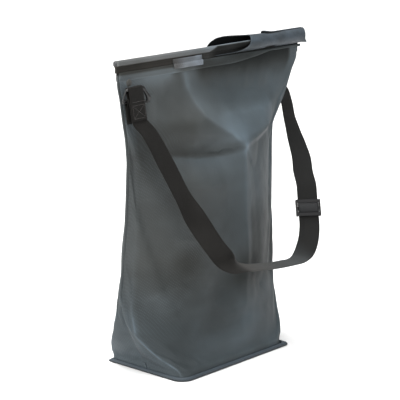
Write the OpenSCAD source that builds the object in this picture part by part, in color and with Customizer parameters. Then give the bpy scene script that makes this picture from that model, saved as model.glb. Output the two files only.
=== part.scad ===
// Upright dry bag with a boxed base, a slide-on mouth closure and a shoulder strap.
// Millimetres. +Z up, X along the closure, the front panel faces -Y, left is -X.
// Origin: centre of the base footprint, on the ground.

/* [Base] */
// footprint length of the welded rim, along X
base_w = 290; // [240:1:340]
// footprint depth of the welded rim, along Y
base_d = 180; // [140:1:220]
// height of the raised welded rim
rim_h = 9; // [6:0.5:18]
// wall of the rim
rim_t = 3; // [2:0.1:5]
// outer corner radius of the rim
rim_r = 20; // [12:1:30]
// thickness of the base panel
floor_t = 2; // [1:0.1:4]

/* [Bag body] */
// wall thickness of the coated fabric panels
wall = 1.6; // [1:0.1:2.5]
// height at which the boxed-bottom creases meet the side seams
gusset_h = 150; // [110:1:190]
// how far the panels bulge at the waist, front and rear
bulge = 80; // [50:1:90]
// width of the welded side-seam flange
seam_w = 7; // [4:0.5:12]
// thickness of the side-seam flange
seam_t = 2.6; // [1.5:0.1:4]

/* [Mouth closure] */
// length of the stiffened mouth along X
mouth_len = 490; // [420:1:540]
// sideways lean of the mouth from the base centre
mouth_dx = 12; // [0:1:20]
// forward lean of the mouth from the base centre, along -Y
mouth_dy = 17; // [0:1:30]
// height of the closure rod centre
rod_z = 568; // [520:1:600]
// closure rod diameter
rod_d = 8; // [6:0.5:10]
// outer diameter of the welded hem around the rod
hem_d = 11; // [9:0.5:14]
// outer diameter of the slotted closure sleeve
sleeve_d = 27; // [24:0.5:32]
// wall of the closure sleeve
sleeve_t = 1.8; // [1.2:0.1:3]
// length of the closure sleeve
sleeve_len = 276; // [200:1:300]
// width of the slot under the sleeve
slot_w = 8; // [6:0.5:10]
// height of the stiffener lips
lip_h = 16; // [10:0.5:24]
// thickness of each stiffener lip
lip_t = 2.4; // [1.5:0.1:4]

/* [Strap] */
// shoulder webbing width
strap_w = 38; // [25:1:50]
// shoulder webbing thickness
strap_t = 1.8; // [1.2:0.1:2.5]
// wire diameter of the strap rings
ring_d = 5.5; // [4:0.1:7]
// lean of the strap ends away from the panels, degrees
lean = 10; // [5:1:20]
// webbing anchor tab width
tab_w = 50; // [40:1:60]
// rest position of the slider along its straight run of webbing
slider_shift = 0; // [-10:0.5:10]

/* [Hidden] */
$fn = 48;

fabric_c = [0.27, 0.29, 0.31];
web_c = [0.12, 0.12, 0.13];
hard_c = [0.08, 0.08, 0.09];

// values of "side"
FRONT = -1;
REAR = 1;
LEFT = -1;
RIGHT = 1;

// mouth
mouth_x = mouth_dx;
mouth_y = -mouth_dy;
mouth_x0 = mouth_x - mouth_len/2;
mouth_x1 = mouth_x + mouth_len/2;

// panels
panel_z0 = floor_t + 1.4;
panel_z1 = rod_z - 15;
rim_gap = 0.2;
base_half_w = base_w/2 - rim_t - rim_gap;
base_half_d = base_d/2 - rim_t - rim_gap;
mid_gap = 0.1; // from the middle surface to each panel's inner face
closed_half = wall + mid_gap; // half depth where the two panels close up
crease_share = 0.186; // share of the width taken by a fully open gusset
blend_u = 0.05; // reach of the smoothing across the panel
blend_z1 = 520; // no smoothing above this height
columns = 30;
levels = 30;

// ---------- helpers ----------
function clamp(v, low, high) = v < low ? low : v > high ? high : v;
function lerp(a, b, t) = a + (b - a)*t;
function smooth(t) = t*t*(3 - 2*t);
function unit(v) = v/norm(v);

// smooth interpolation by height in a table of [z, value...] rows
function row_below(table, z, i = 0) =
  (i >= len(table) - 2 || z < table[i + 1][0]) ? i : row_below(table, z, i + 1);
function rise(table, i, col) =
  (table[i + 1][col] - table[i][col])/(table[i + 1][0] - table[i][0]);
// slope at a row: harmonic mean of its neighbours, flat at a turning point
function slope(table, i, col) =
  i <= 0 ? rise(table, 0, col)
  : i >= len(table) - 1 ? rise(table, len(table) - 2, col)
  : let(a = rise(table, i - 1, col), b = rise(table, i, col)) (a*b <= 0 ? 0 : 2*a*b/(a + b));
function lookup_z(table, z, col = 1) =
  let(
    i = row_below(table, z),
    step = table[i + 1][0] - table[i][0],
    t = clamp((z - table[i][0])/step, 0, 1),
    slope0 = slope(table, i, col)*step,
    slope1 = slope(table, i + 1, col)*step)
  (2*t*t*t - 3*t*t + 1)*table[i][col] + (t*t*t - 2*t*t + t)*slope0
    + (3*t*t - 2*t*t*t)*table[i + 1][col] + (t*t*t - t*t)*slope1;

// side faces joining a stack of rings of n points each
function side_faces(ring_count, n) =
  [for (j = [0:ring_count - 2]) for (i = [0:n - 1])
    let(a = j*n + i, b = j*n + (i + 1)%n, c = a + n, d = b + n)
    each [[a, c, b], [b, c, d]]];

// closed solid through a list of rings, with flat ends
module loft(rings) {
  n = len(rings[0]);
  last = (len(rings) - 1)*n;
  start_cap = [for (i = [0:n - 1]) i];
  end_cap = [for (i = [n - 1:-1:0]) last + i];
  polyhedron([for (ring = rings) each ring],
    concat([start_cap], side_faces(len(rings), n), [end_cap]), convexity = 6);
}

// flat rounded rectangle
module rounded_rect(w, d, r) {
  union() {
    square([w - 2*r, d], center = true);
    square([w, d - 2*r], center = true);
    for (x = [-1, 1], y = [-1, 1]) translate([x*(w/2 - r), y*(d/2 - r)]) circle(r);
  }
}

// extrudes a (Y, Z) outline along X
module along_x(x0, length) {
  translate([x0, 0, 0]) rotate([90, 0, 90]) linear_extrude(length) children();
}

// ---------- body shape ----------
// side seams: [z, left X, right X]
seam_x = [
  [0, -base_half_w, base_half_w], [rim_h + 1.5, -base_half_w, base_half_w],
  [60, -163, 158], [gusset_h, -199, 191], [220, -201, 189], [300, -200, 184],
  [390, -200, 179.5], [412, -202, 182.5], [434, -204.5, 199], [465, -210, 217],
  [505, -216.5, 233], [535, mouth_x0 + 11, mouth_x1 - 9], [600, mouth_x0 + 11, mouth_x1 - 9]];

// left seam: [z, Y]
left_seam_y = [
  [panel_z0, 0], [30, 9], [50, 13], [75, 14], [100, 13], [gusset_h, 7],
  [200, 0], [300, -10.5], [400, -15.8], [450, mouth_y], [600, mouth_y]];

// boxed-bottom creases: [z, distance along Y from the seam line]
crease_start = [panel_z0, base_half_d];
crease_end = [[gusset_h, closed_half], [600, closed_half]];
front_left_crease = [crease_start, [17, 81], [24, 73], [32, 62], [52, 41], [66, 26],
  [80, 14], [100, 7], [125, 3.5], each crease_end];
rear_left_crease = [crease_start, [24, 76], [39, 64], [54, 54], [68, 46], [82, 38],
  [96, 31], [111, 22], [126, 13], [140, 6], each crease_end];
front_right_crease = [crease_start, [23, 76.5], [42, 63], [61, 49], [80, 35], [99, 23],
  [125, 10], each crease_end];
rear_right_crease = [crease_start, [42, 66], [80, 43], [115, 21], each crease_end];

// bulge at mid width: [z, distance along Y from the right seam line]
bulge_y = [
  [0, base_half_d], [40, 86], [gusset_h, bulge], [240, bulge*0.97], [330, bulge*0.86],
  [400, bulge*0.72], [450, bulge*0.5], [500, bulge*0.125], [530, 0.3], [600, 0.3]];

function left_x(z) = lookup_z(seam_x, z, 1);
function right_x(z) = lookup_z(seam_x, z, 2);
function left_y(z) = lookup_z(left_seam_y, z);
function right_y(z) = mouth_y*smooth(clamp((z - panel_z0)/(450 - panel_z0), 0, 1));

// Across a panel u runs from 0 at the left seam to 1 at the right seam.
// Y of the middle surface between the panels
function middle_y(z, u) = lerp(left_y(z), right_y(z), smooth(clamp(u/0.6, 0, 1)));

// [x, y] on a panel before smoothing: gusset, bulged face, gusset
function raw_point(z, u, side) =
  let(
    x0 = left_x(z),
    x1 = right_x(z),
    left_d = lookup_z(side == FRONT ? front_left_crease : rear_left_crease, z),
    right_d = lookup_z(side == FRONT ? front_right_crease : rear_right_crease, z),
    open_d = base_half_d - closed_half,
    left_u = crease_share*(left_d - closed_half)/open_d,
    right_u = crease_share*(right_d - closed_half)/open_d,
    y0 = left_y(z) + side*left_d,
    y1 = right_y(z) + side*right_d)
  u < left_u ? [x0, left_y(z) + side*lerp(closed_half, left_d, u/left_u)]
  : u > 1 - right_u ? [x1, right_y(z) + side*lerp(closed_half, right_d, (1 - u)/right_u)]
  : let(
      t = 2*(u - left_u)/(1 - left_u - right_u) - 1,
      swell = max(0, side*(right_y(z) + side*lookup_z(bulge_y, z) - (y0 + y1)/2)))
    [lerp(x0, x1, (t + 1)/2),
      lerp(y0, y1, (t + 1)/2) + side*swell*pow(max(0, 1 - pow(abs(t), 2.3)), 0.92)];

function outer_point(z, u, side) =
  (u < blend_u || u > 1 - blend_u || z > blend_z1) ? raw_point(z, u, side)
  : (raw_point(z, u - blend_u, side) + 2*raw_point(z, u, side)
    + raw_point(z, u + blend_u, side))/4;

// horizontal normal pointing out of the bag
function outward(z, u, side) =
  let(
    a = outer_point(z, max(0, u - 0.01), side),
    b = outer_point(z, min(1, u + 0.01), side),
    d = unit(b - a))
  side*[-d[1], d[0]];

// inner face, kept on its own side of the middle surface
function inner_point(z, u, side) =
  let(
    p = outer_point(z, u, side) - outward(z, u, side)*wall,
    limit = middle_y(z, u) + side*mid_gap)
  [p[0], side == FRONT ? min(p[1], limit) : max(p[1], limit)];

function level_z(j) = j == 0 ? panel_z0 : lerp(rim_h + 1.2, panel_z1, (j - 1)/(levels - 1));

// outer run left to right, then inner run back
function panel_ring(z, side) = concat(
  [for (i = [0:columns]) [each outer_point(z, i/columns, side), z]],
  [for (i = [columns:-1:0]) [each inner_point(z, i/columns, side), z]]);

module panel(side) {
  n = 2*(columns + 1);
  last = levels*n;
  caps = [for (i = [0:columns - 1])
    let(a = i, b = i + 1, c = n - 1 - i, d = n - 2 - i)
    each [[a, b, c], [b, d, c],
      [last + b, last + a, last + c], [last + d, last + b, last + c]]];
  faces = concat(side_faces(levels + 1, n), caps);
  // the rear rings run the other way round, so their faces are reversed
  polyhedron([for (j = [0:levels]) each panel_ring(level_z(j), side)],
    side == FRONT ? faces : [for (f = faces) [f[2], f[1], f[0]]], convexity = 8);
}

module front_panel() { color(fabric_c) panel(FRONT); }
module rear_panel() { color(fabric_c) panel(REAR); }

// flange outside a side seam, ending below the lips
module seam(side) {
  loft([for (j = [1:levels - 1])
    let(z = level_z(j))
    if (z < panel_z1 - lip_h - 0.5)
    let(
      edge = (side == LEFT ? left_x(z) : right_x(z)) + side*0.4,
      x0 = side == LEFT ? edge - seam_w : edge,
      x1 = x0 + seam_w,
      y = side == LEFT ? left_y(z) : right_y(z),
      y0 = y - seam_t/2,
      y1 = y + seam_t/2)
    [[x0, y0, z], [x1, y0, z], [x1, y1, z], [x0, y1, z]]]);
}

module left_seam() { color(fabric_c) seam(LEFT); }
module right_seam() { color(fabric_c) seam(RIGHT); }

// ---------- base ----------
module base_panel() {
  gap = 0.1;
  color(fabric_c) linear_extrude(floor_t)
    rounded_rect(base_w - 2*rim_t - gap, base_d - 2*rim_t - gap, rim_r - rim_t);
}

module base_rim() {
  color(fabric_c) difference() {
    linear_extrude(rim_h) rounded_rect(base_w, base_d, rim_r);
    translate([0, 0, -1]) linear_extrude(rim_h + 2)
      rounded_rect(base_w - 2*rim_t, base_d - 2*rim_t, rim_r - rim_t);
  }
}

// ---------- mouth ----------
lip_offset = closed_half + 0.5; // middle of the mouth to a lip's inner face
lip_z0 = panel_z1 - lip_h;

// upright strip with rounded top and bottom edges
module lip(side) {
  y = mouth_y + side*(lip_offset + lip_t/2);
  color(fabric_c) along_x(mouth_x0 + 8, mouth_len - 6) union() {
    translate([y - lip_t/2, lip_z0 + 1]) square([lip_t, lip_h - 2]);
    translate([y, panel_z1 - lip_t/2]) circle(lip_t/2);
    translate([y, lip_z0 + lip_t/2]) circle(lip_t/2);
  }
}

module front_lip() { lip(FRONT); }
module rear_lip() { lip(REAR); }

// flat patch in front of the front lip
module lip_patch() {
  patch_t = 1.2;
  color(fabric_c) translate([-90, mouth_y - lip_offset - lip_t - 0.1 - patch_t, lip_z0 - 1])
    cube([74, patch_t, lip_h + 2]);
}

module mouth_hem() {
  web_half = wall + 0.2;
  color(fabric_c) along_x(mouth_x0 + 3, mouth_len - 6) difference() {
    union() {
      translate([mouth_y, rod_z]) circle(hem_d/2);
      translate([mouth_y - web_half, panel_z1 + 0.1])
        square([2*web_half, rod_z - panel_z1 - 4.5]);
    }
    translate([mouth_y, rod_z]) circle(rod_d/2 + 0.05);
  }
}

module closure_rod() {
  color(hard_c) translate([mouth_x0, mouth_y, rod_z]) rotate([0, 90, 0]) union() {
    translate([0, 0, rod_d/2]) cylinder(d = rod_d, h = mouth_len - rod_d);
    translate([0, 0, rod_d/2]) sphere(d = rod_d);
    translate([0, 0, mouth_len - rod_d/2]) sphere(d = rod_d);
  }
}

sleeve_x0 = -8;
sleeve_z = rod_z + 0.5;

module closure_sleeve() {
  color(fabric_c) difference() {
    along_x(sleeve_x0, sleeve_len) difference() {
      translate([mouth_y, sleeve_z]) circle(sleeve_d/2);
      translate([mouth_y, sleeve_z]) circle(sleeve_d/2 - sleeve_t);
      translate([mouth_y - slot_w/2, rod_z - sleeve_d]) square([slot_w, sleeve_d - 4]);
    }
    // slanted cut that takes most from the upper front of the left end
    translate([sleeve_x0 + 59, mouth_y, sleeve_z]) rotate([130, 0, 0]) rotate([0, 0, 13.1])
      translate([-150, 0, -60]) cube([300, 160, 120]);
  }
}

// ---------- strap rings and anchors ----------
// Ring frame: origin on the upper bar, X along it, Y towards the bag, Z up.
left_ring_at = [-207, -37, 526];
right_ring_at = [2*mouth_x - left_ring_at[0], 2*mouth_y - left_ring_at[1], left_ring_at[2]];
left_turn = 5.2;
right_turn = 180 + left_turn;
function ring_at(side) = side == LEFT ? left_ring_at : right_ring_at;
function ring_turn(side) = side == LEFT ? left_turn : right_turn;
module at_ring(side) { translate(ring_at(side)) rotate([0, 0, ring_turn(side)]) children(); }

// lower bar of the ring
low_y = 8;
low_z = -22;

// round bar between two points
module bar(from, to, d) {
  v = to - from;
  length = norm(v);
  translate(from) rotate([0, acos(v[2]/length), atan2(v[1], v[0])]) cylinder(d = d, h = length);
}

// four-sided ring: strap bar above, wider tab bar below, thinner sides
module ring() {
  top_x = strap_w/2 + 3.4;
  low_x = tab_w/2 + 3.4;
  overrun = 2.4;
  side_d = ring_d - 1;
  color(hard_c) union() {
    bar([-top_x - overrun, 0, 0], [top_x + overrun, 0, 0], ring_d);
    bar([-low_x - overrun, low_y, low_z], [low_x + overrun, low_y, low_z], ring_d);
    bar([-top_x, 0, 0], [-low_x, low_y, low_z], side_d);
    bar([top_x, 0, 0], [low_x, low_y, low_z], side_d);
  }
}

module left_ring() { at_ring(LEFT) ring(); }
module right_ring() { at_ring(RIGHT) ring(); }

tab_t = 1.6;
tab_inner_r = ring_d/2 + 0.07;

// (Y, Z) points around the lower bar
function low_bar_arc(r, from, to, steps = 28) =
  [for (i = [0:steps]) let(a = lerp(from, to, i/steps)) [low_y + r*cos(a), low_z + r*sin(a)]];

// webbing folded over the lower bar: outer outline, then inner outline
module tab_piece() {
  neck_z = low_z - 12;
  color(web_c) along_x(-tab_w/2, tab_w) polygon(concat(
    [[low_y - 5, -58], [low_y - 1.9, neck_z]],
    low_bar_arc(tab_inner_r + tab_t, 195, -15),
    [[low_y + 1.9, neck_z], [low_y - 1.4, -60], [low_y - 3, -60], [low_y + 0.2, neck_z]],
    low_bar_arc(tab_inner_r, -25, 205),
    [[low_y - 0.3, neck_z], [low_y - 3.4, -58]]));
}

module left_tab() { at_ring(LEFT) tab_piece(); }
module right_tab() { at_ring(RIGHT) tab_piece(); }

// stepped rivet pointing outwards from the front or the rear
rivet_x = -198;
module rivet(side, x) {
  color(hard_c) translate([x, mouth_y + side*2.45, 530.5]) rotate([-90*side, 0, 0]) union() {
    cylinder(d = 9, h = 1.4);
    cylinder(d = 5, h = 2.6);
  }
}

module left_rivet() { rivet(FRONT, rivet_x); }
module right_rivet() { rivet(REAR, 2*mouth_x - rivet_x); }

// three stitch rows on the folded strap end, proud of the flap
flap_y = -3.45;
module stitches() {
  color(web_c) rotate([-lean, 0, 0]) for (z = [-30, -38, -48], x = [-15:3:15])
    translate([x - 1, flap_y - strap_t/2 - 0.55, z - 0.35]) cube([2, 0.5, 0.7]);
}

module left_stitching() { at_ring(LEFT) stitches(); }
module right_stitching() { at_ring(RIGHT) stitches(); }

// ---------- strap ----------
// webbing centre line round the upper bar, before the lean: [Y, Z] in the ring frame
loop_r = ring_d/2 + 0.06 + strap_t/2;
strap_loop = concat(
  [[-3.4, -54], [flap_y, -42], [-3.5, -30], [-3.6, -18], [-loop_r, -6]],
  [for (a = [180:-12:0]) [loop_r*cos(a), loop_r*sin(a)]],
  [[loop_r, -5], [2.2, -13], [0.2, -20], [-0.9, -28], [-1.2, -40], [-1.3, -54]]);

function turn_z(v, a) = [v[0]*cos(a) - v[1]*sin(a), v[0]*sin(a) + v[1]*cos(a), v[2]];
function tilt(p) = [0, p[0]*cos(lean) + p[1]*sin(lean), p[1]*cos(lean) - p[0]*sin(lean)];
function loop_points(side) =
  [for (p = strap_loop) ring_at(side) + turn_z(tilt(p), ring_turn(side))];

// straight run that carries the slider
slider_at = [174, -113, 264.5];
slider_dir = unit([0.285, 0.34, 0.896]);
slider_angle = -140;

// hanging webbing from left ring to right ring: [centre point, angle of its width]
free_run = [
  [[-194, -58, 452], -3], [[-171, -77, 396], 3], [[-150, -99, 335], 9],
  [[-134.5, -116, 295], 16], [[-112, -137, 248], 24], [[-97, -147, 226], 24],
  [[-85, -157, 215], 5], [[-66, -167, 210], -25], [[-38, -174, 206.5], -45],
  [[-4, -176.5, 202.5], -62], [[42, -173, 197.5], -80], [[80, -163, 192.5], -100],
  [[106, -154, 193.5], -122], [[124, -147, 200], -135], [[144, -138, 214], -140],
  for (k = [-32, -16, 0, 22, 44]) [slider_at + slider_dir*k, slider_angle],
  [[199, -80, 325], -143], [[211, -66, 347], -150], [[221, -48, 370], -163],
  [[235, -26, 393], -182], [[249, -4, 418], -190], [[256, 8, 440], -186],
  [[250, 11, 456], -185]];

function width_dir(a) = [cos(a), -sin(a), 0];
right_loop = loop_points(RIGHT);
strap_centres = concat(
  loop_points(LEFT),
  [for (station = free_run) station[0]],
  [for (i = [len(right_loop) - 1:-1:0]) right_loop[i]]);
strap_widths = concat(
  [for (p = strap_loop) width_dir(-left_turn)],
  [for (station = free_run) width_dir(station[1])],
  [for (p = strap_loop) -width_dir(-left_turn)]);

// flat band along the centres, its width squared up to the path
module ribbon(centres, widths, w, t) {
  last = len(centres) - 1;
  loft([for (i = [0:last])
    let(
      along = unit(centres[min(last, i + 1)] - centres[max(0, i - 1)]),
      across = unit(widths[i] - along*(widths[i]*along)),
      half_w = across*w/2,
      half_t = unit(cross(along, across))*t/2,
      c = centres[i])
    [c - half_w - half_t, c + half_w - half_t, c + half_w + half_t, c - half_w + half_t]]);
}

module strap_webbing() { color(web_c) ribbon(strap_centres, strap_widths, strap_w, strap_t); }

// ---------- slider ----------
// Slider frame: X across the webbing, Y through it, Z along it.
slider_w = 46;
slider_t = 3;
slider_gap = strap_t/2 + 0.4; // webbing centre to the slider bars
slider_half_d = slider_gap + slider_t;
end_bar_z = 12.5;
end_bar_h = 6;

module at_slider() {
  translate(slider_at + slider_dir*slider_shift) rotate([0, 0, 180 - slider_angle])
    rotate([-acos(slider_dir[2]), 0, 0]) children();
}

module slider_frame() {
  half_h = end_bar_z + end_bar_h/2;
  color(hard_c) at_slider() union() {
    for (z = [-end_bar_z, end_bar_z]) translate([-slider_w/2, -slider_half_d, z - end_bar_h/2])
      cube([slider_w, slider_t, end_bar_h]);
    for (x = [-slider_w/2, slider_w/2 - slider_t]) translate([x, -slider_half_d, -half_h])
      cube([slider_t, 2*slider_half_d, 2*half_h]);
  }
}

// crossbar between the frame sides, on the other face of the webbing
module slider_bar() {
  length = slider_w - 2*slider_t - 0.1;
  color(hard_c) at_slider() translate([-length/2, slider_gap, -2.5]) cube([length, slider_t, 5]);
}

front_panel();
rear_panel();
base_panel();
base_rim();
left_seam();
right_seam();
front_lip();
rear_lip();
mouth_hem();
closure_rod();
closure_sleeve();
lip_patch();
left_tab();
right_tab();
left_rivet();
right_rivet();
left_ring();
right_ring();
left_stitching();
right_stitching();
strap_webbing();
slider_frame();
slider_bar();
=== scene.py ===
# A coated-fabric bag: boxed at the base, drawn flat at the mouth round a rod that a slotted
# sleeve covers, with a webbing strap hung from an anchor at each end of the mouth.
# X runs along the mouth, -Y is the front, +Z is up and the base stands near z = 0.
# Lengths are in mm and become metres when a mesh is made; shader lengths are in metres.
import bpy, bmesh, math
import numpy as np
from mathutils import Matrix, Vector


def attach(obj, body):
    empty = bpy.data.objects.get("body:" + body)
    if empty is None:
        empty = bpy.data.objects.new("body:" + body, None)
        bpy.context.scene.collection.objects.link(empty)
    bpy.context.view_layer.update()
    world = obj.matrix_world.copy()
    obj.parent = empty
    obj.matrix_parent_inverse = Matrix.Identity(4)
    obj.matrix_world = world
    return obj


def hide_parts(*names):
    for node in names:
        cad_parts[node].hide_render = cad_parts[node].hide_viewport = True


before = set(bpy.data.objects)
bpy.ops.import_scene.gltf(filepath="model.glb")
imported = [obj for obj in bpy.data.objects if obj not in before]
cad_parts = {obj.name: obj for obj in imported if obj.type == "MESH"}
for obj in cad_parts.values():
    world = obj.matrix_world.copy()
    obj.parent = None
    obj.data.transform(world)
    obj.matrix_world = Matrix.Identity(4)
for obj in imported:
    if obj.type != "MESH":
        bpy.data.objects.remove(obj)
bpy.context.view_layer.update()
SCENE = bpy.context.scene
MM = 0.001
FRONT, REAR = -1, 1                  # sign of Y
LEFT, RIGHT = -1, 1                  # sign of X

# ------------------------------------------------------------------ bag sizes
MOUTH_X, MOUTH_Y = 12.0, -17.0       # middle of the closed mouth
MOUTH_LEFT, MOUTH_RIGHT = MOUTH_X - 245, MOUTH_X + 245
ROD_Z = 568.0
PANEL_TOP, PANEL_FOOT = 553.0, 3.4
WALL = 1.6
BASE_HALF_W, BASE_HALF_D = 141.8, 86.8
CLOSED_HALF_D = 1.7                  # half depth where the gussets have closed
GUSSET_SHARE = .186                  # share of a panel's width in each gusset at the base
CLOSING_Z = 450                      # the right seam reaches the mouth's Y here
COLS, ROWS = 116, 140                # panel grid
CREASE_COL = .095                    # share of the columns on each side of a gusset crease

# height, left seam x, right seam x
SEAM_X = np.array([
    [0, -BASE_HALF_W, BASE_HALF_W], [10.5, -BASE_HALF_W, BASE_HALF_W], [60, -163, 158],
    [150, -199, 191], [220, -201, 189], [300, -200, 184], [390, -200, 179.5],
    [412, -202, 180.5], [434, -204.5, 194.5], [465, -210, 214], [505, -216.5, 233],
    [535, -222, 248], [600, -222, 248]], float)
# height, depth of the middle of a panel from the right seam's plane
BULGE = np.array([
    [0, BASE_HALF_D], [40, 86.4], [150, 80], [240, 77.6], [330, 68.8], [400, 57.6],
    [450, 40], [500, 10], [530, .3], [600, .3]], float)
# height, left seam y
LEFT_SEAM_Y = np.array([
    [PANEL_FOOT, 0], [30, 9], [50, 13], [75, 14], [100, 13], [150, 7], [200, 0],
    [300, -10.5], [400, -15.8], [450, MOUTH_Y], [600, MOUTH_Y]], float)


def crease_table(*points):
    """height, distance of a gusset crease from its seam; shut from 150 up"""
    ends = [(150, CLOSED_HALF_D), (600, CLOSED_HALF_D)]
    return np.array([(PANEL_FOOT, BASE_HALF_D), *points, *ends], float)


LEFT_CREASE = {
    FRONT: crease_table((17, 81), (24, 73), (32, 62), (52, 41), (66, 26), (80, 14), (100, 7),
                        (125, 3.5)),
    REAR: crease_table((14, 82.5), (24, 78), (39, 68.5), (54, 57), (68, 47), (82, 36),
                       (96, 26), (111, 15.5), (126, 6), (140, 2.6))}
RIGHT_CREASE = {
    FRONT: crease_table((23, 80), (42, 69), (61, 57), (80, 42), (99, 27), (125, 11)),
    REAR: crease_table((42, 66), (80, 43), (115, 21))}


# ------------------------------------------------------------------ curves and noise
def slope(value, zero, one):
    """straight ramp: 0 where value is `zero`, 1 where it is `one`, held beyond them"""
    return np.clip((value - zero) / (one - zero), 0, 1)


def fade(value, zero, one):
    """slope with eased ends"""
    part = slope(value, zero, one)
    return part * part * (3 - 2 * part)


def bell(distance, width, power=2):
    return np.exp(-(distance / width)**power)


def tent(distance, width, power):
    return np.maximum(0, 1 - distance / width)**power


def unit(vectors):
    return vectors / (np.linalg.norm(vectors, axis=-1, keepdims=True) + 1e-12)


def run_length(points, axis=0):
    """distance travelled along an axis of a point grid"""
    step = np.linalg.norm(np.diff(points, axis=axis), axis=-1)
    start = np.zeros_like(np.take(step, [0], axis))
    return np.concatenate([start, np.cumsum(step, axis)], axis)


def monotone(table, z, column=1):
    """monotone cubic through a table's column, read at height z"""
    z = np.asarray(z, float)
    knots, values = table[:, 0], table[:, column]
    gaps = np.diff(knots)
    rates = np.diff(values) / gaps
    tangent = np.empty_like(values)
    tangent[0], tangent[-1] = rates[0], rates[-1]
    before, after = rates[:-1], rates[1:]
    with np.errstate(divide="ignore", invalid="ignore"):
        mean = 2 * before * after / (before + after)
        tangent[1:-1] = np.where(before * after > 0, mean, 0)
    i = np.clip(np.searchsorted(knots, z, side="right") - 1, 0, len(knots) - 2)
    t = np.clip((z - knots[i]) / gaps[i], 0, 1)
    return ((2*t**3 - 3*t**2 + 1)*values[i] + (t**3 - 2*t**2 + t)*tangent[i]*gaps[i]
            + (3*t**2 - 2*t**3)*values[i + 1] + (t**3 - t**2)*tangent[i + 1]*gaps[i])


LATTICE = np.random.default_rng(7).random((64, 64)) * 2 - 1


def soft_noise(a, b):
    """smooth value noise on a repeating lattice"""
    i, j = np.floor(a).astype(int), np.floor(b).astype(int)
    part_a, part_b = a - i, b - j
    part_a = part_a*part_a*(3 - 2*part_a)
    part_b = part_b*part_b*(3 - 2*part_b)

    def corner(p, q):
        return LATTICE[p % 64, q % 64]

    low = corner(i, j)*(1 - part_a) + corner(i + 1, j)*part_a
    high = corner(i, j + 1)*(1 - part_a) + corner(i + 1, j + 1)*part_a
    return low*(1 - part_b) + high*part_b


def smooth_path(points, per_span):
    """smooth curve through the points; spans are measured on the first three columns"""
    points = np.asarray(points, float)
    ctrl = np.vstack([2*points[0] - points[1], points, 2*points[-1] - points[-2]])
    out = []
    t = np.linspace(0, 1, per_span, endpoint=False)[:, None]
    for k in range(1, len(ctrl) - 2):
        p0, p1, p2, p3 = ctrl[k - 1:k + 3]
        len0, len1, len2 = (max(np.linalg.norm((q - p)[:3]), 1e-6)
                            for p, q in ((p0, p1), (p1, p2), (p2, p3)))
        tangent1 = ((p2 - p1)/len1*.5 + (p1 - p0)/len0*.5) * len1
        tangent2 = ((p3 - p2)/len2*.5 + (p2 - p1)/len1*.5) * len1
        out.append((2*t**3 - 3*t**2 + 1)*p1 + (t**3 - 2*t**2 + t)*tangent1
                   + (3*t**2 - 2*t**3)*p2 + (t**3 - t**2)*tangent2)
    out.append(ctrl[-2][None])
    return np.vstack(out)


# ------------------------------------------------------------------ panel section
def right_seam_y(z):
    return MOUTH_Y * fade(np.asarray(z, float), PANEL_FOOT, CLOSING_Z)


def left_seam_y(z):
    return monotone(LEFT_SEAM_Y, z)


def mid_y(z, across):
    """surface between the two panels; across runs 0..1 from the left seam to the right"""
    part = fade(np.asarray(across, float), 0, .6)
    return left_seam_y(z) * (1 - part) + right_seam_y(z) * part


def crease_depths(z, side):
    return monotone(LEFT_CREASE[side], z), monotone(RIGHT_CREASE[side], z)


def gusset_shares(z, side):
    """share of the section taken by the left and right gusset sides"""
    return [GUSSET_SHARE * (depth - CLOSED_HALF_D) / (BASE_HALF_D - CLOSED_HALF_D)
            for depth in crease_depths(z, side)]


def sharp_section(z, across, side):
    """x and y of a panel before its creases are softened"""
    z, across = np.broadcast_arrays(np.asarray(z, float), np.asarray(across, float))
    left_x, right_x = monotone(SEAM_X, z), monotone(SEAM_X, z, 2)
    left_depth, right_depth = crease_depths(z, side)
    left, right = gusset_shares(z, side)
    left_y, right_y = left_seam_y(z), right_seam_y(z)
    start_y, end_y = left_y + side * left_depth, right_y + side * right_depth
    t = 2 * (across - left) / (1 - left - right) - 1
    rise = side * (right_y + side * monotone(BULGE, z) - (start_y + end_y) / 2)
    bow = np.maximum(0, rise) * np.maximum(0, 1 - np.abs(t)**2.3)**.92
    face_x = left_x + (right_x - left_x) * (t + 1) / 2
    face_y = start_y + (end_y - start_y) * (t + 1) / 2 + side * bow
    in_left, in_right = across < left, across > 1 - right
    left_part = np.clip(across / np.maximum(left, 1e-9), 0, 1)
    right_part = np.clip((1 - across) / np.maximum(right, 1e-9), 0, 1)
    x = np.where(in_left, left_x, np.where(in_right, right_x, face_x))
    gap = .25 + 1.45 * slope(z, 140, 154)
    y = np.where(in_left, left_y + side * (gap + (left_depth - gap) * left_part),
                 np.where(in_right, right_y + side * (gap + (right_depth - gap) * right_part),
                          face_y))
    # the short sides belly out a little
    grow = slope(z, 14, 44)
    x = x - 1.0 * np.sin(np.pi * left_part) * in_left * grow
    x = x + 3.0 * np.sin(np.pi * right_part) * in_right * grow
    return x, y


def section(z, across, side):
    """x and y of a panel, averaged with its neighbours across"""
    z, across = np.broadcast_arrays(np.asarray(z, float), np.asarray(across, float))
    x, y = sharp_section(z, across, side)
    reaches = [.05, .05, .016, .02, .04] if side == FRONT else [.006, .006, .012, .02, .04]
    reach = np.interp(z, [0, 12, 40, 150, 200], reaches)
    x0, y0 = sharp_section(z, np.maximum(across - reach, 0), side)
    x1, y1 = sharp_section(z, np.minimum(across + reach, 1), side)
    sharp = (across < reach) | (across > 1 - reach) | (z > 520)
    return np.where(sharp, x, (x0 + 2*x + x1)/4), np.where(sharp, y, (y0 + 2*y + y1)/4)


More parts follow.
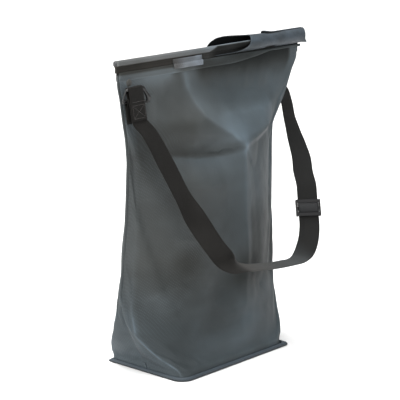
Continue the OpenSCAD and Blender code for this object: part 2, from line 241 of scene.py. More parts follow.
# ------------------------------------------------------------------ folds and tones
def near(x, z, path):
    """distance to a path in the panel's plane, place along it (0..1), and flank: positive on
    the left of its direction, seen with X to the right and Z up"""
    path = np.asarray(path, float)
    best = np.full(x.shape, 1e9)
    along = np.zeros(x.shape)
    flank = np.zeros(x.shape)
    lengths = np.hypot(*np.diff(path, axis=0).T)
    total, run = lengths.sum(), 0
    for start, step, length in zip(path, np.diff(path, axis=0), lengths):
        t = ((x - start[0])*step[0] + (z - start[1])*step[1]) / (length**2)
        t = np.clip(t, 0, 1)
        off_x, off_z = x - start[0] - t*step[0], z - start[1] - t*step[1]
        distance = np.hypot(off_x, off_z)
        closer = distance < best
        best = np.where(closer, distance, best)
        along = np.where(closer, (run + t*length) / total, along)
        flank = np.where(closer, step[0]*off_z - step[1]*off_x, flank)
        run += length
    return best, along, np.sign(flank)


def spread(along, values):
    """values spaced evenly along a path"""
    return np.interp(along, np.linspace(0, 1, len(values)), values)


def fold(x, z, path, heights, left, right=None):
    """crease along a path; left and right are the (width, power) of its two flanks"""
    distance, along, flank = near(x, z, path)
    width, power = (np.where(flank > 0, a, b) for a, b in zip(left, right or left))
    return spread(along, heights) * tent(distance, width, power)


def folds(x, z, table):
    return sum(fold(x, z, *row) for row in table)


def spots(x, z, table):
    """soft ovals: height, centre x, centre z, half width, half height"""
    return sum(height * bell(np.hypot((x - spot_x)/half_w, (z - spot_z)/half_h), 1)
               for height, spot_x, spot_z, half_w, half_h in table)


def bead(x, z, path, width):
    return bell(near(x, z, path)[0], width)


# paths of (x, z); the front panel's three ridges meet at PINCH
PINCH = (24, 403)
UPPER_RIDGE = [(-67, 545), (-60, 510), (-56, 482), (-50, 464), (-27, 445), (3, 427), PINCH]
RIGHT_RIDGE = [PINCH, (66, 411), (110, 420), (168, 431)]
LOWER_RIDGE = [PINCH, (29, 380), (34, 300), (38, 208), (34, 114), (25, 67)]
VALLEY = [(-176, 419), (-142, 406), (-106, 398), (-56, 390), (-22, 388), (4, 391), (18, 396)]
REAR_RIDGE = [(80, 548), (52, 500), (20, 455), (-28, 415)]
REAR_VALLEY = [(150, 430), (100, 412), (40, 404), (-20, 412)]

# fold tables: path, heights along it, left (width, power), right if it differs
FRONT_RIDGES = [
    (UPPER_RIDGE, [1, 6, 10, 13, 15, 18, 21], (74, 1.15), (46, 1.3)),
    (RIGHT_RIDGE, [21, 17, 13, 3], (66, 1.0), (18, 1.0)),
    (LOWER_RIDGE, [21, 10, 7, 6, 5, 3], (42, 1.3))]
FRONT_FOLDS = [
    (VALLEY, [0, -10, -19, -26, -25, -15, -2], (40, 1.3), (54, 1.15)),
    # from the mouth towards the left anchor
    ([(-84, 546), (-104, 536), (-124, 521), (-142, 498), (-156, 468), (-160, 440)],
     [2, 4, 5, 5, 3, 0], (34, 1.5)),
    ([(-222, 550), (-213, 543), (-200, 528), (-190, 520)], [0, 4, 4, 0], (10, 1.35)),
    # dent across the upper right
    ([(-30, 482), (12, 476), (55, 470), (123, 468), (185, 474)],
     [0, -7, -9, -8, 0], (56, 1.2), (16, 1.2)),
    # low on the left, then low in the middle
    ([(-176, 128), (-152, 158), (-116, 166), (-86, 150)], [0, 5, 5, 0], (12, 1.2), (30, 1.2)),
    ([(-60, 62), (-18, 70), (30, 84)], [-5, -5], (22, 1.2)),
    # faint creases
    ([(-150, 262), (-110, 250), (-60, 246), (-10, 252)], [0, 2.6, 2.6, 0], (16, 1.35)),
    ([(58, 150), (96, 128), (124, 96)], [0, -5, 0], (30, 1.35))]
FRONT_SPOTS = [(10, -98, 106, 56, 42), (-9, -22, 150, 32, 34), (-8, -40, 300, 90, 66)]
REAR_FOLDS = [
    (REAR_RIDGE, [1, 4, 7, 9], (44, 1.35)),
    ([(-28, 415), (-90, 424), (-150, 436), (-190, 445)], [8, 6, 4, 1], (30, 1.35)),
    ([(-28, 415), (-36, 330), (-40, 220), (-44, 120)], [7, 4, 3, 0], (34, 1.2)),
    (REAR_VALLEY, [0, -9, -11, -4], (28, 1.4), (60, 1.4))]
REAR_SPOTS = [(6, 90, 110, 60, 48), (-6, 10, 190, 60, 60), (-5, -90, 260, 60, 80)]

# painted light and shade for the front: light along the ridges where they face up, also rubbed wear;
# spots of light on bulges, of shade in hollows and of the strap's shadow below its low run
FRONT_TONE_FOLDS = [
    (UPPER_RIDGE, [.3, .5, .7, .72, .70, .6, .45], (50, 1.25), (7, 1.25)),
    (LOWER_RIDGE, [.3, .3, .1, 0, 0, .2], (26, 1), (6, 1))]
FRONT_TONE_SPOTS = [
    (-.32, -92, 444, 60, 28), (.75, 28, 396, 9, 11.7), (-1.15, 38, 172, 48, 34),
    (-.32, -104, 196, 44, 34), (-.30, -42, 112, 34, 40), (.25, -146, 142, 26, 22),
    (.30, 50, 84, 22, 26), (.25, 14, 42, 30, 14)]


def front_relief(x, z):
    """outward relief of the front panel"""
    # the ridges are blended, not added, where they meet
    relief = sum(fold(x, z, *row)**5 for row in FRONT_RIDGES)**.2
    # belly above the valley
    relief += 9 * bead(x, z, [(-138, 462), (-104, 456), (-66, 446)], 30)
    return relief + folds(x, z, FRONT_FOLDS) + spots(x, z, FRONT_SPOTS)


def rear_relief(x, z):
    return folds(x, z, REAR_FOLDS) + spots(x, z, REAR_SPOTS)


def front_tone(x, z):
    """painted light (positive) and painted shade (negative), in doublings of lightness; the light on
    the ridges also stands for rubbed wear
    """
    tone = folds(x, z, FRONT_TONE_FOLDS) + spots(x, z, FRONT_TONE_SPOTS)
    # painted light on the facet above the right ridge, which faces up
    tone += (.40 * fade(z, 468, 454) * fade(z - .11*(x - 12), 407, 417)
             * fade(x, -30, 10) * fade(x, 175, 145))
    # painted shadow under the right half of the lip, painted light under the left half
    tone -= 2.0 * bell(np.maximum(0, 546 - z), 25, 1.6) * fade(x, -44, -10)
    tone += .85 * bell(np.maximum(0, 535 - z), 17, 1.6) * fade(x, -78, -104)
    # painted highlights along the top of the upper ridge and along the crease down from the lip's
    # left end
    tone += .5 * bead(x, z, [(-62, 534), (-57, 516)], 9)
    tone += .8 * bead(x, z, [(-222, 552), (-213, 542), (-200, 528)], 3.0)
    # painted shade above the valley's line, where the fold turns under, and painted light below it,
    # where the surface faces up
    distance, along, flank = near(x, z, VALLEY)
    below = .78 * tent(distance, 46, 1) * slope(distance, 2, 6) - .45 * slope(distance, 4, 0)
    tone += (spread(along, [0, .5, .9, 1, 1, .8, .3])
             * np.where(flank > 0, -.55 * tent(distance, 26, 1), below))
    # broad painted light and shade: lighter near the foot, shade on the strip on the right that
    # faces away from the light and on the left below the belly, darker low down, a lighter band
    # below the valley
    tone += .16 * fade(z, 100, 30)
    tone -= .75 * fade(x, 44, 58) * fade(z, 315, 245) * fade(z, 110, 160)
    tone -= .15 * fade(x, -66, -110) * fade(z, 476, 436)
    tone -= .22 * fade(z, 270, 160)
    tone += .10 * fade(z, 300, 360) * fade(z, 390, 360)
    return tone


def rear_tone(x, z):
    # painted light and shade: light along the ridge and below the valley, shade above the valley,
    # under the right half of the lip, in a hollow and low down
    tone = fold(x, z, REAR_RIDGE, [.2, .5, .7, .6], (9, 1), (28, 1))
    distance, along, flank = near(x, z, REAR_VALLEY)
    tone += (spread(along, [0, .9, 1, .2])
             * np.where(flank < 0, -.4 * tent(distance, 26, 1), .5 * tent(distance, 42, 1)))
    tone -= .9 * bell(np.maximum(0, 546 - z), 20, 1.4) * fade(x, -20, 20)
    tone += spots(x, z, [(-.25, 10, 190, 60, 60)])
    tone -= .25 * fade(z, 270, 150)
    return tone


# ------------------------------------------------------------------ panel grids
def flat_grid(cols, rows, side):
    """panel without relief: x, y, z, place across, a mask of the broad face that takes a
    margin, and a gusset-crease profile that takes a width; two columns follow the creases"""
    z = np.linspace(PANEL_FOOT + .6, PANEL_TOP - 1, rows + 1)[:, None]
    left, right = (np.maximum(share, .03) for share in gusset_shares(z, side))
    col = np.linspace(0, 1, cols + 1)[None, :]
    middle = left + (1 - left - right) * (col - CREASE_COL) / (1 - 2*CREASE_COL)
    across = np.where(col < CREASE_COL, left * col / CREASE_COL,
                      np.where(col > 1 - CREASE_COL, 1 - right * (1 - col) / CREASE_COL,
                               middle))
    x, y = section(z, across, side)
    z = np.broadcast_to(z, x.shape).copy()

    def face(margin):
        return (slope(across, left, left + margin)
                * slope(across, 1 - right, 1 - right - margin))

    def crease(width):
        gap = np.where(col < .5, col, 1 - col) - CREASE_COL
        return slope(z, 9, 23) * slope(z, 152, 132) * bell(gap, width)

    return x, y, z, across, face, crease


def panel_grid(cols, rows, side):
    """points (rows + 1, cols + 1, 3) of one panel's outer face"""
    x, y, z, across, face, crease = flat_grid(cols, rows, side)
    step_x, step_y = np.gradient(x, axis=1), np.gradient(y, axis=1)
    step = np.hypot(step_x, step_y) + 1e-9
    relief = front_relief(x, z) if side == FRONT else rear_relief(x, z)
    relief *= face(.03)
    rear = side == REAR
    relief += 1.3 * soft_noise(x / 46 + 9 * rear, z / 62 + y / 70)
    relief += .6 * soft_noise(x / 19 + 5, z / 24 + 3 * rear + y / 22)
    relief += 2.4 * crease(.011)
    # the seams, foot and mouth stay on their lines
    held = slope(np.minimum(across, 1 - across), 0, .02)**.8
    held = held * slope(z, PANEL_FOOT, PANEL_FOOT + 22) * slope(z, 541, 521)
    # pushed along the section's outward normal
    return np.stack([x - side * step_y / step * relief * held,
                     y + side * step_x / step * relief * held, z], -1)


def panel_tone(cols, rows, side):
    x, _, z, _, face, crease = flat_grid(cols, rows, side)
    tone = front_tone(x, z) if side == FRONT else rear_tone(x, z)
    tone = tone * face(.02)
    margin = 1 - face(.02)
    # painted light on the gusset sides low down and along the left edge up high
    tone += .16 * margin * fade(z, 150, 110)
    tone += .60 * margin * fade(z, 400, 460) * fade(x, -150, -170)
    # painted highlights on the front along the crease down from the lip's left end and on the seam
    # below it
    if side == FRONT:
        tone += .9 * bead(x, z, [(-222, 552), (-213, 541), (-203, 527)], 3.2)
        tone += spots(x, z, [(.45, -216, 528, 13, 26)])
    # painted highlights, broken up, along the gusset creases
    tone += .5 * crease(.006) * fade(soft_noise(z / 9, 3), -.9, .3)
    tone += .13 * soft_noise(x / 58 + 3, z / 66 + 11 * (side == REAR))
    return tone + .09 * soft_noise(x / 17, z / 15 + 5)


# ------------------------------------------------------------------ mesh helpers
def new_object(name, verts, faces, mat=None, uv=None):
    """smooth-shaded object from vertices in metres and one UV per vertex"""
    mesh = bpy.data.meshes.new(name)
    mesh.from_pydata([tuple(v) for v in verts], [], [tuple(f) for f in faces])
    mesh.validate()
    if uv is not None:
        layer = mesh.uv_layers.new(name="UVMap")
        index = np.empty(len(mesh.loops), int)
        mesh.loops.foreach_get("vertex_index", index)
        layer.data.foreach_set("uv", np.asarray(uv, float)[index].ravel())
    bm = bmesh.new()
    bm.from_mesh(mesh)
    bmesh.ops.recalc_face_normals(bm, faces=bm.faces)
    if all(e.is_manifold for e in bm.edges) and bm.calc_volume(signed=True) < 0:
        bmesh.ops.reverse_faces(bm, faces=bm.faces)
    bm.to_mesh(mesh)
    bm.free()
    for polygon in mesh.polygons:
        polygon.use_smooth = True
    obj = bpy.data.objects.new(name, mesh)
    SCENE.collection.objects.link(obj)
    if mat:
        mesh.materials.append(mat)
    return obj


def register(obj, group, node):
    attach(obj, group)
    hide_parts(node)


def set_tone(obj, tone, rest=()):
    """stores the tone of each vertex; rest covers the vertices after the tone's grid"""
    layer = obj.data.attributes.new("tone", "FLOAT", "POINT")
    layer.data.foreach_set("value", np.append(tone, rest).astype(np.float32))


def smooth_by_angle(obj, degrees=50):
    bm = bmesh.new()
    bm.from_mesh(obj.data)
    limit = math.radians(degrees)
    for e in bm.edges:
        e.smooth = not (len(e.link_faces) == 2 and e.calc_face_angle(0) > limit)
    for f in bm.faces:
        f.smooth = True
    bm.to_mesh(obj.data)
    bm.free()


def subdivide(obj):
    sub = obj.modifiers.new("Sub", "SUBSURF")
    sub.levels = sub.render_levels = 1


def add_bevel(obj, width, segments, degrees):
    bevel = obj.modifiers.new("Bev", "BEVEL")
    bevel.width, bevel.segments = width, segments
    bevel.limit_method, bevel.angle_limit = "ANGLE", math.radians(degrees)
    return bevel


def loft(name, rings, mat, cap=True, uv=None):
    """skin over rings (ring, point, 3), each a closed loop; ends are capped with fans"""
    rings = np.asarray(rings, float)
    count, size = rings.shape[:2]
    verts = rings.reshape(-1, 3) * MM
    if uv is None:
        uv = np.stack([run_length(rings, 0), run_length(rings, 1)], -1).reshape(-1, 2) * MM
    faces = []
    for j in range(count - 1):
        for i in range(size):
            a, b = j*size + i, j*size + (i + 1) % size
            faces.append((a, b, b + size, a + size))
    if cap:
        verts = np.vstack([verts, rings[0].mean(0)[None]*MM, rings[-1].mean(0)[None]*MM])
        first, last = len(verts) - 2, len(verts) - 1
        top = (count - 1)*size
        for i in range(size):
            faces.append((first, (i + 1) % size, i))
            faces.append((last, top + i, top + (i + 1) % size))
        uv = np.vstack([uv, uv[0], uv[-1]])
    return new_object(name, verts, faces, mat, uv=uv)


def sheet_solid(name, outer, inner, mat, uv, along_rows=False):
    """two matching grids joined round their edges; along_rows winds the faces by rows first"""
    rows, cols = outer.shape[:2]
    verts = np.concatenate([outer.reshape(-1, 3), inner.reshape(-1, 3)]) * MM
    total = rows*cols
    index = np.arange(total).reshape(rows, cols)
    faces = []
    for i in range(rows - 1):
        for j in range(cols - 1):
            a, b, c, d = index[i, j], index[i, j + 1], index[i + 1, j + 1], index[i + 1, j]
            quad = (a, b, c, d) if along_rows else (a, d, c, b)
            faces.append(quad)
            faces.append(tuple(v + total for v in quad[::-1]))
    edge = [*index[0], *index[1:, -1], *index[-1, -2::-1], *index[-2:0:-1, 0]]
    for a, b in zip(edge, edge[1:] + edge[:1]):
        faces.append((b, a, a + total, b + total))
    obj = new_object(name, verts, faces, mat, uv=np.vstack([uv, uv]))
    smooth_by_angle(obj)
    return obj


def ribbon(name, centre, across, width, thick, mat, wobble=0.0):
    """flat webbing swept along centre, lying in direction across, with rounded selvedges"""
    tangent = unit(np.gradient(centre, axis=0))
    across = unit(across - tangent * (across * tangent).sum(-1, keepdims=True))
    normal = unit(np.cross(tangent, across))
    half_w, half_t = width / 2, thick / 2
    top = [(x*(half_w - half_t*.55), half_t*(1 if abs(x) < .93 else .72))
           for x in np.linspace(-1, 1, 13)]
    profile = top + [(half_w, 0)] + [(x, -y) for x, y in top[::-1]] + [(-half_w, 0)]
    length = run_length(centre)
    lift = wobble * soft_noise(length / 34 + 7, 1.7)
    rings = np.stack([centre + across*x + normal*(y + lift)[:, None] for x, y in profile], 1)
    uv = np.stack(np.broadcast_arrays(np.array([x for x, _ in profile])[None],
                                      length[:, None]), -1)
    return loft(name, rings, mat, uv=uv.reshape(-1, 2) * MM)


def closed_tube(name, path, radius, mat):
    """round wire along a closed path with a radius for each of its points"""
    path, radius = np.vstack([path, path[:1]]), np.append(radius, radius[0])
    tangent = unit(np.gradient(path, axis=0))
    tangent[0] = tangent[-1] = unit(path[1] - path[-2])
    normal = unit(np.cross(tangent[0], [0, 0, 1.0]))
    normals = []
    for direction in tangent:
        normal = unit(normal - direction * (normal @ direction))
        normals.append(normal)
    # the frame comes back turned: the turn is spread along the path so that the ends meet
    twist = math.atan2(normals[-1] @ np.cross(tangent[0], normals[0]),
                       normals[-1] @ normals[0])
    rings = []
    for i, normal in enumerate(normals):
        binormal = np.cross(tangent[i], normal)
        angle = np.linspace(0, 2*np.pi, 16, endpoint=False) - twist*i/(len(path) - 1)
        circle = np.cos(angle)[:, None]*normal + np.sin(angle)[:, None]*binormal
        rings.append(path[i] + radius[i]*circle)
    rings[-1] = rings[0].copy()
    obj = loft(name, rings, mat, cap=False)
    bm = bmesh.new()
    bm.from_mesh(obj.data)
    bmesh.ops.remove_doubles(bm, verts=bm.verts, dist=1e-7)
    bm.to_mesh(obj.data)
    bm.free()
    return obj


# ------------------------------------------------------------------ shader helpers
class Nodes:
    """node tree of a material or world, emptied and ready to fill"""

    def __init__(self, owner):
        owner.use_nodes = True
        self.owner, self.tree = owner, owner.node_tree
        self.tree.nodes.clear()

    def put(self, value, socket):
        """links a socket or sets a value; colours are given as RGB"""
        if isinstance(value, bpy.types.NodeSocket):
            self.tree.links.new(value, socket)
        elif socket.type == "RGBA":
            socket.default_value = (*value, 1)
        else:
            socket.default_value = value

    def node(self, kind, inputs=None, **settings):
        node = self.tree.nodes.new(kind)
        for key, value in settings.items():
            setattr(node, key, value)
        for key, value in (inputs or {}).items():
            self.put(value, node.inputs[key])
        return node

    def coords(self, kind):
        return self.node("ShaderNodeTexCoord").outputs[kind]

    def split(self, vector):
        return self.node("ShaderNodeSeparateXYZ", {0: vector}).outputs

    def tone(self):
        return self.node("ShaderNodeAttribute", attribute_name="tone").outputs["Fac"]

    def pointiness(self):
        return self.node("ShaderNodeNewGeometry").outputs["Pointiness"]

    def math(self, operation, *values, clamp=False):
        return self.node("ShaderNodeMath", dict(enumerate(values)), operation=operation,
                         use_clamp=clamp).outputs[0]

    def times(self, a, b, clamp=False):
        return self.math("MULTIPLY", a, b, clamp=clamp)

    def linear(self, value, gain, offset, clamp=False):
        return self.math("MULTIPLY_ADD", value, gain, offset, clamp=clamp)

    def vector_math(self, operation, *values):
        return self.node("ShaderNodeVectorMath", dict(enumerate(values)), operation=operation)

    def ramp(self, factor, stops):
        """colour ramp; stops are (position, grey)"""
        node = self.node("ShaderNodeValToRGB", {0: factor})
        elements = node.color_ramp.elements
        while len(elements) < len(stops):
            elements.new(.5)
        for element, (position, color) in zip(elements, stops):
            element.position = position
            element.color = (*(color if isinstance(color, tuple) else (color,)*3), 1)
        return node.outputs[0]

    def noise(self, vector, scale, detail, rough, output="Fac"):
        return self.node("ShaderNodeTexNoise", {
            "Scale": scale, "Detail": detail, "Roughness": rough,
            "Vector": vector}).outputs[output]

    def mapping(self, vector, scale, rotation=(0, 0, 0)):
        return self.node("ShaderNodeMapping", {
            "Scale": scale, "Rotation": rotation, "Vector": vector}).outputs[0]

    def mix(self, factor, a, b, blend="MIX"):
        return self.node("ShaderNodeMix", {0: factor, 6: a, 7: b}, data_type="RGBA",
                         blend_type=blend).outputs[2]

    def bump(self, height, distance, strength, normal=None):
        inputs = {"Strength": strength, "Distance": distance, "Height": height}
        if normal is not None:
            inputs["Normal"] = normal
        return self.node("ShaderNodeBump", inputs).outputs[0]

    def stripes(self, value, pitch):
        """0..1 wave of a coordinate in metres"""
        wave = self.math("SINE", self.times(value, 2*math.pi/pitch))
        return self.linear(wave, gain=.5, offset=.5)

    def surface(self, inputs):
        """ends a material in a principled surface with these inputs"""
        out = self.node("ShaderNodeOutputMaterial")
        shader = self.node("ShaderNodeBsdfPrincipled", inputs)
        self.tree.links.new(shader.outputs[0], out.inputs[0])
        return self.owner


def scaled(color, *gains, offset=0.0):
    """colour times one gain, or a gain per channel"""
    gains = gains if len(gains) == 3 else gains*3
    return tuple(c*gain + offset for c, gain in zip(color, gains))


def toned(net, color):
    """applies the mesh's tone, painted light and shade: pale and cool where positive, dark and warm
    where negative
    """
    tone = net.tone()
    gain = net.math("POWER", 2.0, tone)
    pale, dark = net.times(tone, .9, clamp=True), net.times(tone, -.9, clamp=True)
    tint = net.mix(pale, (1, 1, 1), (.93, 1.0, 1.09))
    tint = net.mix(dark, tint, (1.10, 1.0, .90))
    # painted warm light from the left, cooler light elsewhere: the colour is a little warmer towards
    # -X and higher up
    x, _, z = net.split(net.coords("Object"))
    side = net.linear(x, gain=-7.7, offset=.35, clamp=True)
    side = net.times(side, net.linear(z, gain=8.0, offset=-.7, clamp=True))
    side_tint = net.mix(side, (.96, 1.02, 1.05), (1.03, .965, .90))
    tint = net.mix(1.0, tint, side_tint, blend="MULTIPLY")
    grey = net.node("ShaderNodeCombineXYZ", {0: gain, 1: gain, 2: gain}).outputs[0]
    color = net.mix(1.0, color, tint, blend="MULTIPLY")
    return net.vector_math("MULTIPLY", color, grey).outputs[0]


# ------------------------------------------------------------------ materials
def coated_fabric(name, base, dark, light, rough=.5):
    net = Nodes(bpy.data.materials.new(name))
    place, flat = net.coords("Object"), net.coords("UV")
    # scrim cloth showing through the coating, slightly wavy and laid on the bias
    scrim = .0058
    waver = net.noise(place, scale=95, detail=2, rough=.5, output="Color")
    moved = net.vector_math("MULTIPLY_ADD", waver, (.0034, .0034, .0034), flat)
    flat_u, flat_v, _ = net.split(moved.outputs[0])
    stretch_u, stretch_v = net.times(flat_u, 1.12), net.times(flat_v, .94)
    bias = [net.math("ADD", stretch_u, stretch_v), net.math("SUBTRACT", stretch_u, stretch_v)]
    weave = net.math("POWER", net.times(*[net.stripes(b, scrim) for b in bias]), 1.4)
    fine = net.times(*[net.stripes(b, scrim/3.4) for b in bias])
    clouds = net.noise(place, scale=5.5, detail=4, rough=.55)
    mottle = net.noise(place, scale=26, detail=4, rough=.6)
    grain = net.noise(place, scale=900, detail=2, rough=.6)
    color = net.ramp(clouds, [(.3, dark), (.7, light)])
    color = net.mix(net.times(net.ramp(mottle, [(.42, 0), (.62, 1)]), .3), color, base)
    # pale rubbed marks and dust
    streaks = net.mapping(place, scale=(9, 9, 42), rotation=(0.3, .5, .2))
    marks = net.noise(streaks, scale=1.6, detail=6, rough=.68)
    marks = net.ramp(marks, [(.60, 0), (.80, 1)])
    color = net.mix(net.times(marks, .16), color, scaled(light, 2.1))
    # the weave shows in patches
    patchy = net.noise(place, scale=8, detail=4, rough=.62)
    patchy = net.ramp(patchy, [(.36, .08), (.68, .80)])
    color = net.mix(net.times(weave, patchy), color, scaled(light, 1.50, 1.58, 1.70))
    color = net.mix(net.times(net.times(fine, patchy), .35), color, scaled(dark, .45))
    # worn ridges
    worn = net.ramp(net.pointiness(), [(.505, 0), (.56, 1)])
    color = net.mix(net.times(worn, .35), color, scaled(light, 2.0, 2.05, 2.1))
    color = toned(net, color)
    # areas of painted shade (negative tone) shine less
    painted_shade = net.times(net.math("MINIMUM", net.tone(), 0.0), 1.3)
    specular = net.times(net.math("POWER", 2.0, painted_shade), .2)
    roughness = net.linear(mottle, gain=.22, offset=rough - .11)
    roughness = net.linear(weave, gain=-.06, offset=roughness)
    dents = net.noise(place, scale=34, detail=5, rough=.6)
    normal = net.bump(dents, distance=.0022, strength=.55)
    normal = net.bump(weave, distance=.00012, strength=.7, normal=normal)
    normal = net.bump(fine, distance=.00004, strength=.5, normal=normal)
    normal = net.bump(grain, distance=.00006, strength=.5, normal=normal)
    return net.surface({"Base Color": color, "Specular IOR Level": specular,
                        "Roughness": roughness, "Sheen Weight": .015, "Sheen Roughness": .45,
                        "Normal": normal})


def webbing_material(name, base, light, rough=.72):
    net = Nodes(bpy.data.materials.new(name))
    flat, place = net.coords("UV"), net.coords("Object")
    across, along, _ = net.split(flat)
    # heavy plain weave: ribs broken into small floats that alternate column by column
    rib, column = .0021, .0019
    odd = net.math("FLOOR", net.math("DIVIDE", across, column))
    odd = net.math("MODULO", net.math("ABSOLUTE", odd), 2)
    ribs = net.stripes(net.linear(odd, gain=rib/2, offset=along), rib)
    warp = net.stripes(across, column)
    height = net.times(net.math("POWER", ribs, .7), net.linear(warp, gain=.55, offset=.45))
    fuzz = net.noise(place, scale=1400, detail=3, rough=.7)
    clouds = net.noise(place, scale=22, detail=3, rough=.5)
    color = net.mix(height, base, light)
    color = net.mix(net.times(clouds, .5), color, scaled(light, 1.15, 1.12, 1.08))
    # dark lines beside the selvedges
    edge = net.times(net.math("ABSOLUTE", across), 52.6)
    edge = net.ramp(edge, [(.80, 0), (.84, 1), (.88, 0)])
    color = net.mix(net.times(edge, .35), color, scaled(base, .5))
    lint = net.ramp(fuzz, [(.55, 0), (.75, 1)])
    color = net.mix(net.times(lint, .25), color, scaled(light, 1.9))
    normal = net.bump(height, distance=.0005, strength=.9)
    normal = net.bump(fuzz, distance=.00012, strength=.6, normal=normal)
    return net.surface({"Base Color": toned(net, color),
                        "Roughness": net.linear(height, gain=-.12, offset=rough),
                        "Specular IOR Level": .15, "Sheen Weight": .025,
                        "Sheen Roughness": .4, "Normal": normal})


def smooth_material(name, base, light, rough, grain=.00005, wear=.3, specular=.22, coat=0.0):
    net = Nodes(bpy.data.materials.new(name))
    place = net.coords("Object")
    clouds = net.noise(place, scale=42, detail=4, rough=.6)
    fine = net.noise(place, scale=650, detail=3, rough=.6)
    color = net.mix(clouds, base, light)
    worn = net.ramp(net.pointiness(), [(.52, 0), (.6, 1)])
    scratches = net.noise(net.mapping(place, scale=(1, 1, 7)), scale=120, detail=5, rough=.7)
    scratches = net.ramp(scratches, [(.58, 0), (.7, 1)])
    color = net.mix(net.times(worn, wear), color, scaled(light, 2.4, offset=.01))
    color = net.mix(net.times(scratches, wear*.35), color, scaled(light, 1.8))
    normal = net.bump(fine, distance=grain, strength=.8)
    ripple = net.noise(place, scale=70, detail=2, rough=.5)
    normal = net.bump(ripple, distance=.0003, strength=.35, normal=normal)
    return net.surface({"Base Color": color,
                        "Roughness": net.linear(clouds, gain=.2, offset=rough - .1),
                        "Specular IOR Level": specular, "Coat Weight": coat,
                        "Coat Roughness": .18, "Normal": normal})


def thread_material(name, base, light):
    net = Nodes(bpy.data.materials.new(name))
    along, around, _ = net.split(net.coords("UV"))
    twist = net.stripes(net.math("ADD", along, around), .0007)
    return net.surface({"Base Color": net.mix(twist, base, light), "Roughness": .6,
                        "Sheen Weight": .3,
                        "Normal": net.bump(twist, distance=.0002, strength=.8)})


BODY = coated_fabric("coated_fabric", base=(.0388, .0458, .0494), dark=(.0312, .0366, .0390),
                     light=(.0470, .0556, .0600), rough=.58)
RIM = coated_fabric("rim_rubber", base=(.036, .042, .048), dark=(.030, .036, .041),
                    light=(.044, .051, .058))
LIP = coated_fabric("lip_strip", base=(.044, .050, .053), dark=(.037, .043, .046),
                    light=(.052, .058, .062))
# lighter copy of the coated fabric: painted light on the rolled hem, whose top faces the light
HEM = coated_fabric("hem_fabric", base=(.060, .066, .070), dark=(.050, .056, .059),
                    light=(.072, .078, .082), rough=.44)
SLEEVE = coated_fabric("sleeve_shell", base=(.036, .042, .050), dark=(.030, .036, .042),
                       light=(.044, .052, .060), rough=.44)
# lighter, cooler copy of the coated fabric: painted light on the lip patch
PATCH = coated_fabric("patch_weld", base=(.095, .108, .125), dark=(.082, .094, .108),
                      light=(.108, .122, .140))
ROD = smooth_material("rod_plastic", base=(.030, .031, .033), light=(.045, .047, .05),
                      rough=.35)
WEB = webbing_material("webbing", base=(.0018, .0018, .0017), light=(.0066, .0063, .0058))
# lighter, glossier copy of the webbing: painted light on the wrap over the adjuster's middle bar
WRAP = webbing_material("webbing_wrap", base=(.005, .005, .0052), light=(.016, .016, .017),
                        rough=.40)
TAB = webbing_material("tab_webbing", base=(.0022, .0022, .0018),
                       light=(.0068, .0066, .0053))
HARD = smooth_material("hardware_plastic", base=(.0025, .0025, .003),
                       light=(.005, .005, .0058), rough=.45, wear=.05)
RING = smooth_material("ring_metal", base=(.003, .003, .003), light=(.006, .006, .0065),
                       rough=.36, grain=.00001, wear=0.0, specular=.5, coat=.10)
RIVET = coated_fabric("rivet_cap", base=(.055, .058, .058), dark=(.050, .052, .052),
                      light=(.064, .067, .067))
THREAD = thread_material("thread", base=(.011, .0075, .0065), light=(.030, .022, .019))


# ------------------------------------------------------------------ bag body
def cloth_shift(front, rear):
    """lets the shell settle as cloth between its held mouth, base and seams; returns how far
    each panel's points move"""
    rows, cols = front.shape[0] - 1, front.shape[1] - 1
    shell = np.concatenate([front, rear[:, ::-1]], 1)          # seam points doubled
    size = shell.shape[1]
    faces = [(j*size + i, j*size + (i + 1) % size, (j + 1)*size + (i + 1) % size,
              (j + 1)*size + i) for j in range(rows) for i in range(size)]
    obj = new_object("relax_tmp", shell.reshape(-1, 3) * MM, faces)
    pins = obj.vertex_groups.new(name="pin")
    for j in range(rows + 1):
        for i in range(size):
            z = shell[j, i, 2]
            col = i if i <= cols else i - cols - 1
            if z < 20 or z > 530:
                pins.add([j*size + i], 1.0, "REPLACE")
            elif min(col, cols - col) / cols < .012:
                pins.add([j*size + i], .85, "REPLACE")
    cloth = obj.modifiers.new("Cloth", "CLOTH")
    settings = cloth.settings
    settings.quality = 5
    settings.mass = .35
    settings.tension_stiffness = settings.compression_stiffness = 30
    settings.shear_stiffness = 12
    settings.bending_stiffness = 1.2
    settings.tension_damping = settings.compression_damping = 8
    settings.vertex_group_mass = "pin"
    settings.pin_stiffness = 8
    settings.shrink_min = -.016
    settings.use_pressure = True
    settings.uniform_pressure_force = .35
    settings.effector_weights.gravity = .35
    cloth.collision_settings.use_collision = False
    cloth.collision_settings.use_self_collision = False
    cloth.point_cache.frame_start, cloth.point_cache.frame_end = 1, 26
    for number in range(1, 25):
        SCENE.frame_set(number)
    settled = obj.evaluated_get(bpy.context.evaluated_depsgraph_get()).data.vertices
    points = np.empty(len(settled) * 3, np.float32)
    settled.foreach_get("co", points)
    shift = points.reshape(rows + 1, size, 3) / MM - shell
    bpy.data.objects.remove(obj)
    SCENE.frame_set(1)
    # part of the movement is kept, and none of it beyond a limit
    length = np.linalg.norm(shift, axis=-1, keepdims=True)
    shift *= .65 * np.minimum(1, 8.0 / np.maximum(length, 1e-6))
    return shift[:, :cols + 1], shift[:, cols + 1:][:, ::-1]


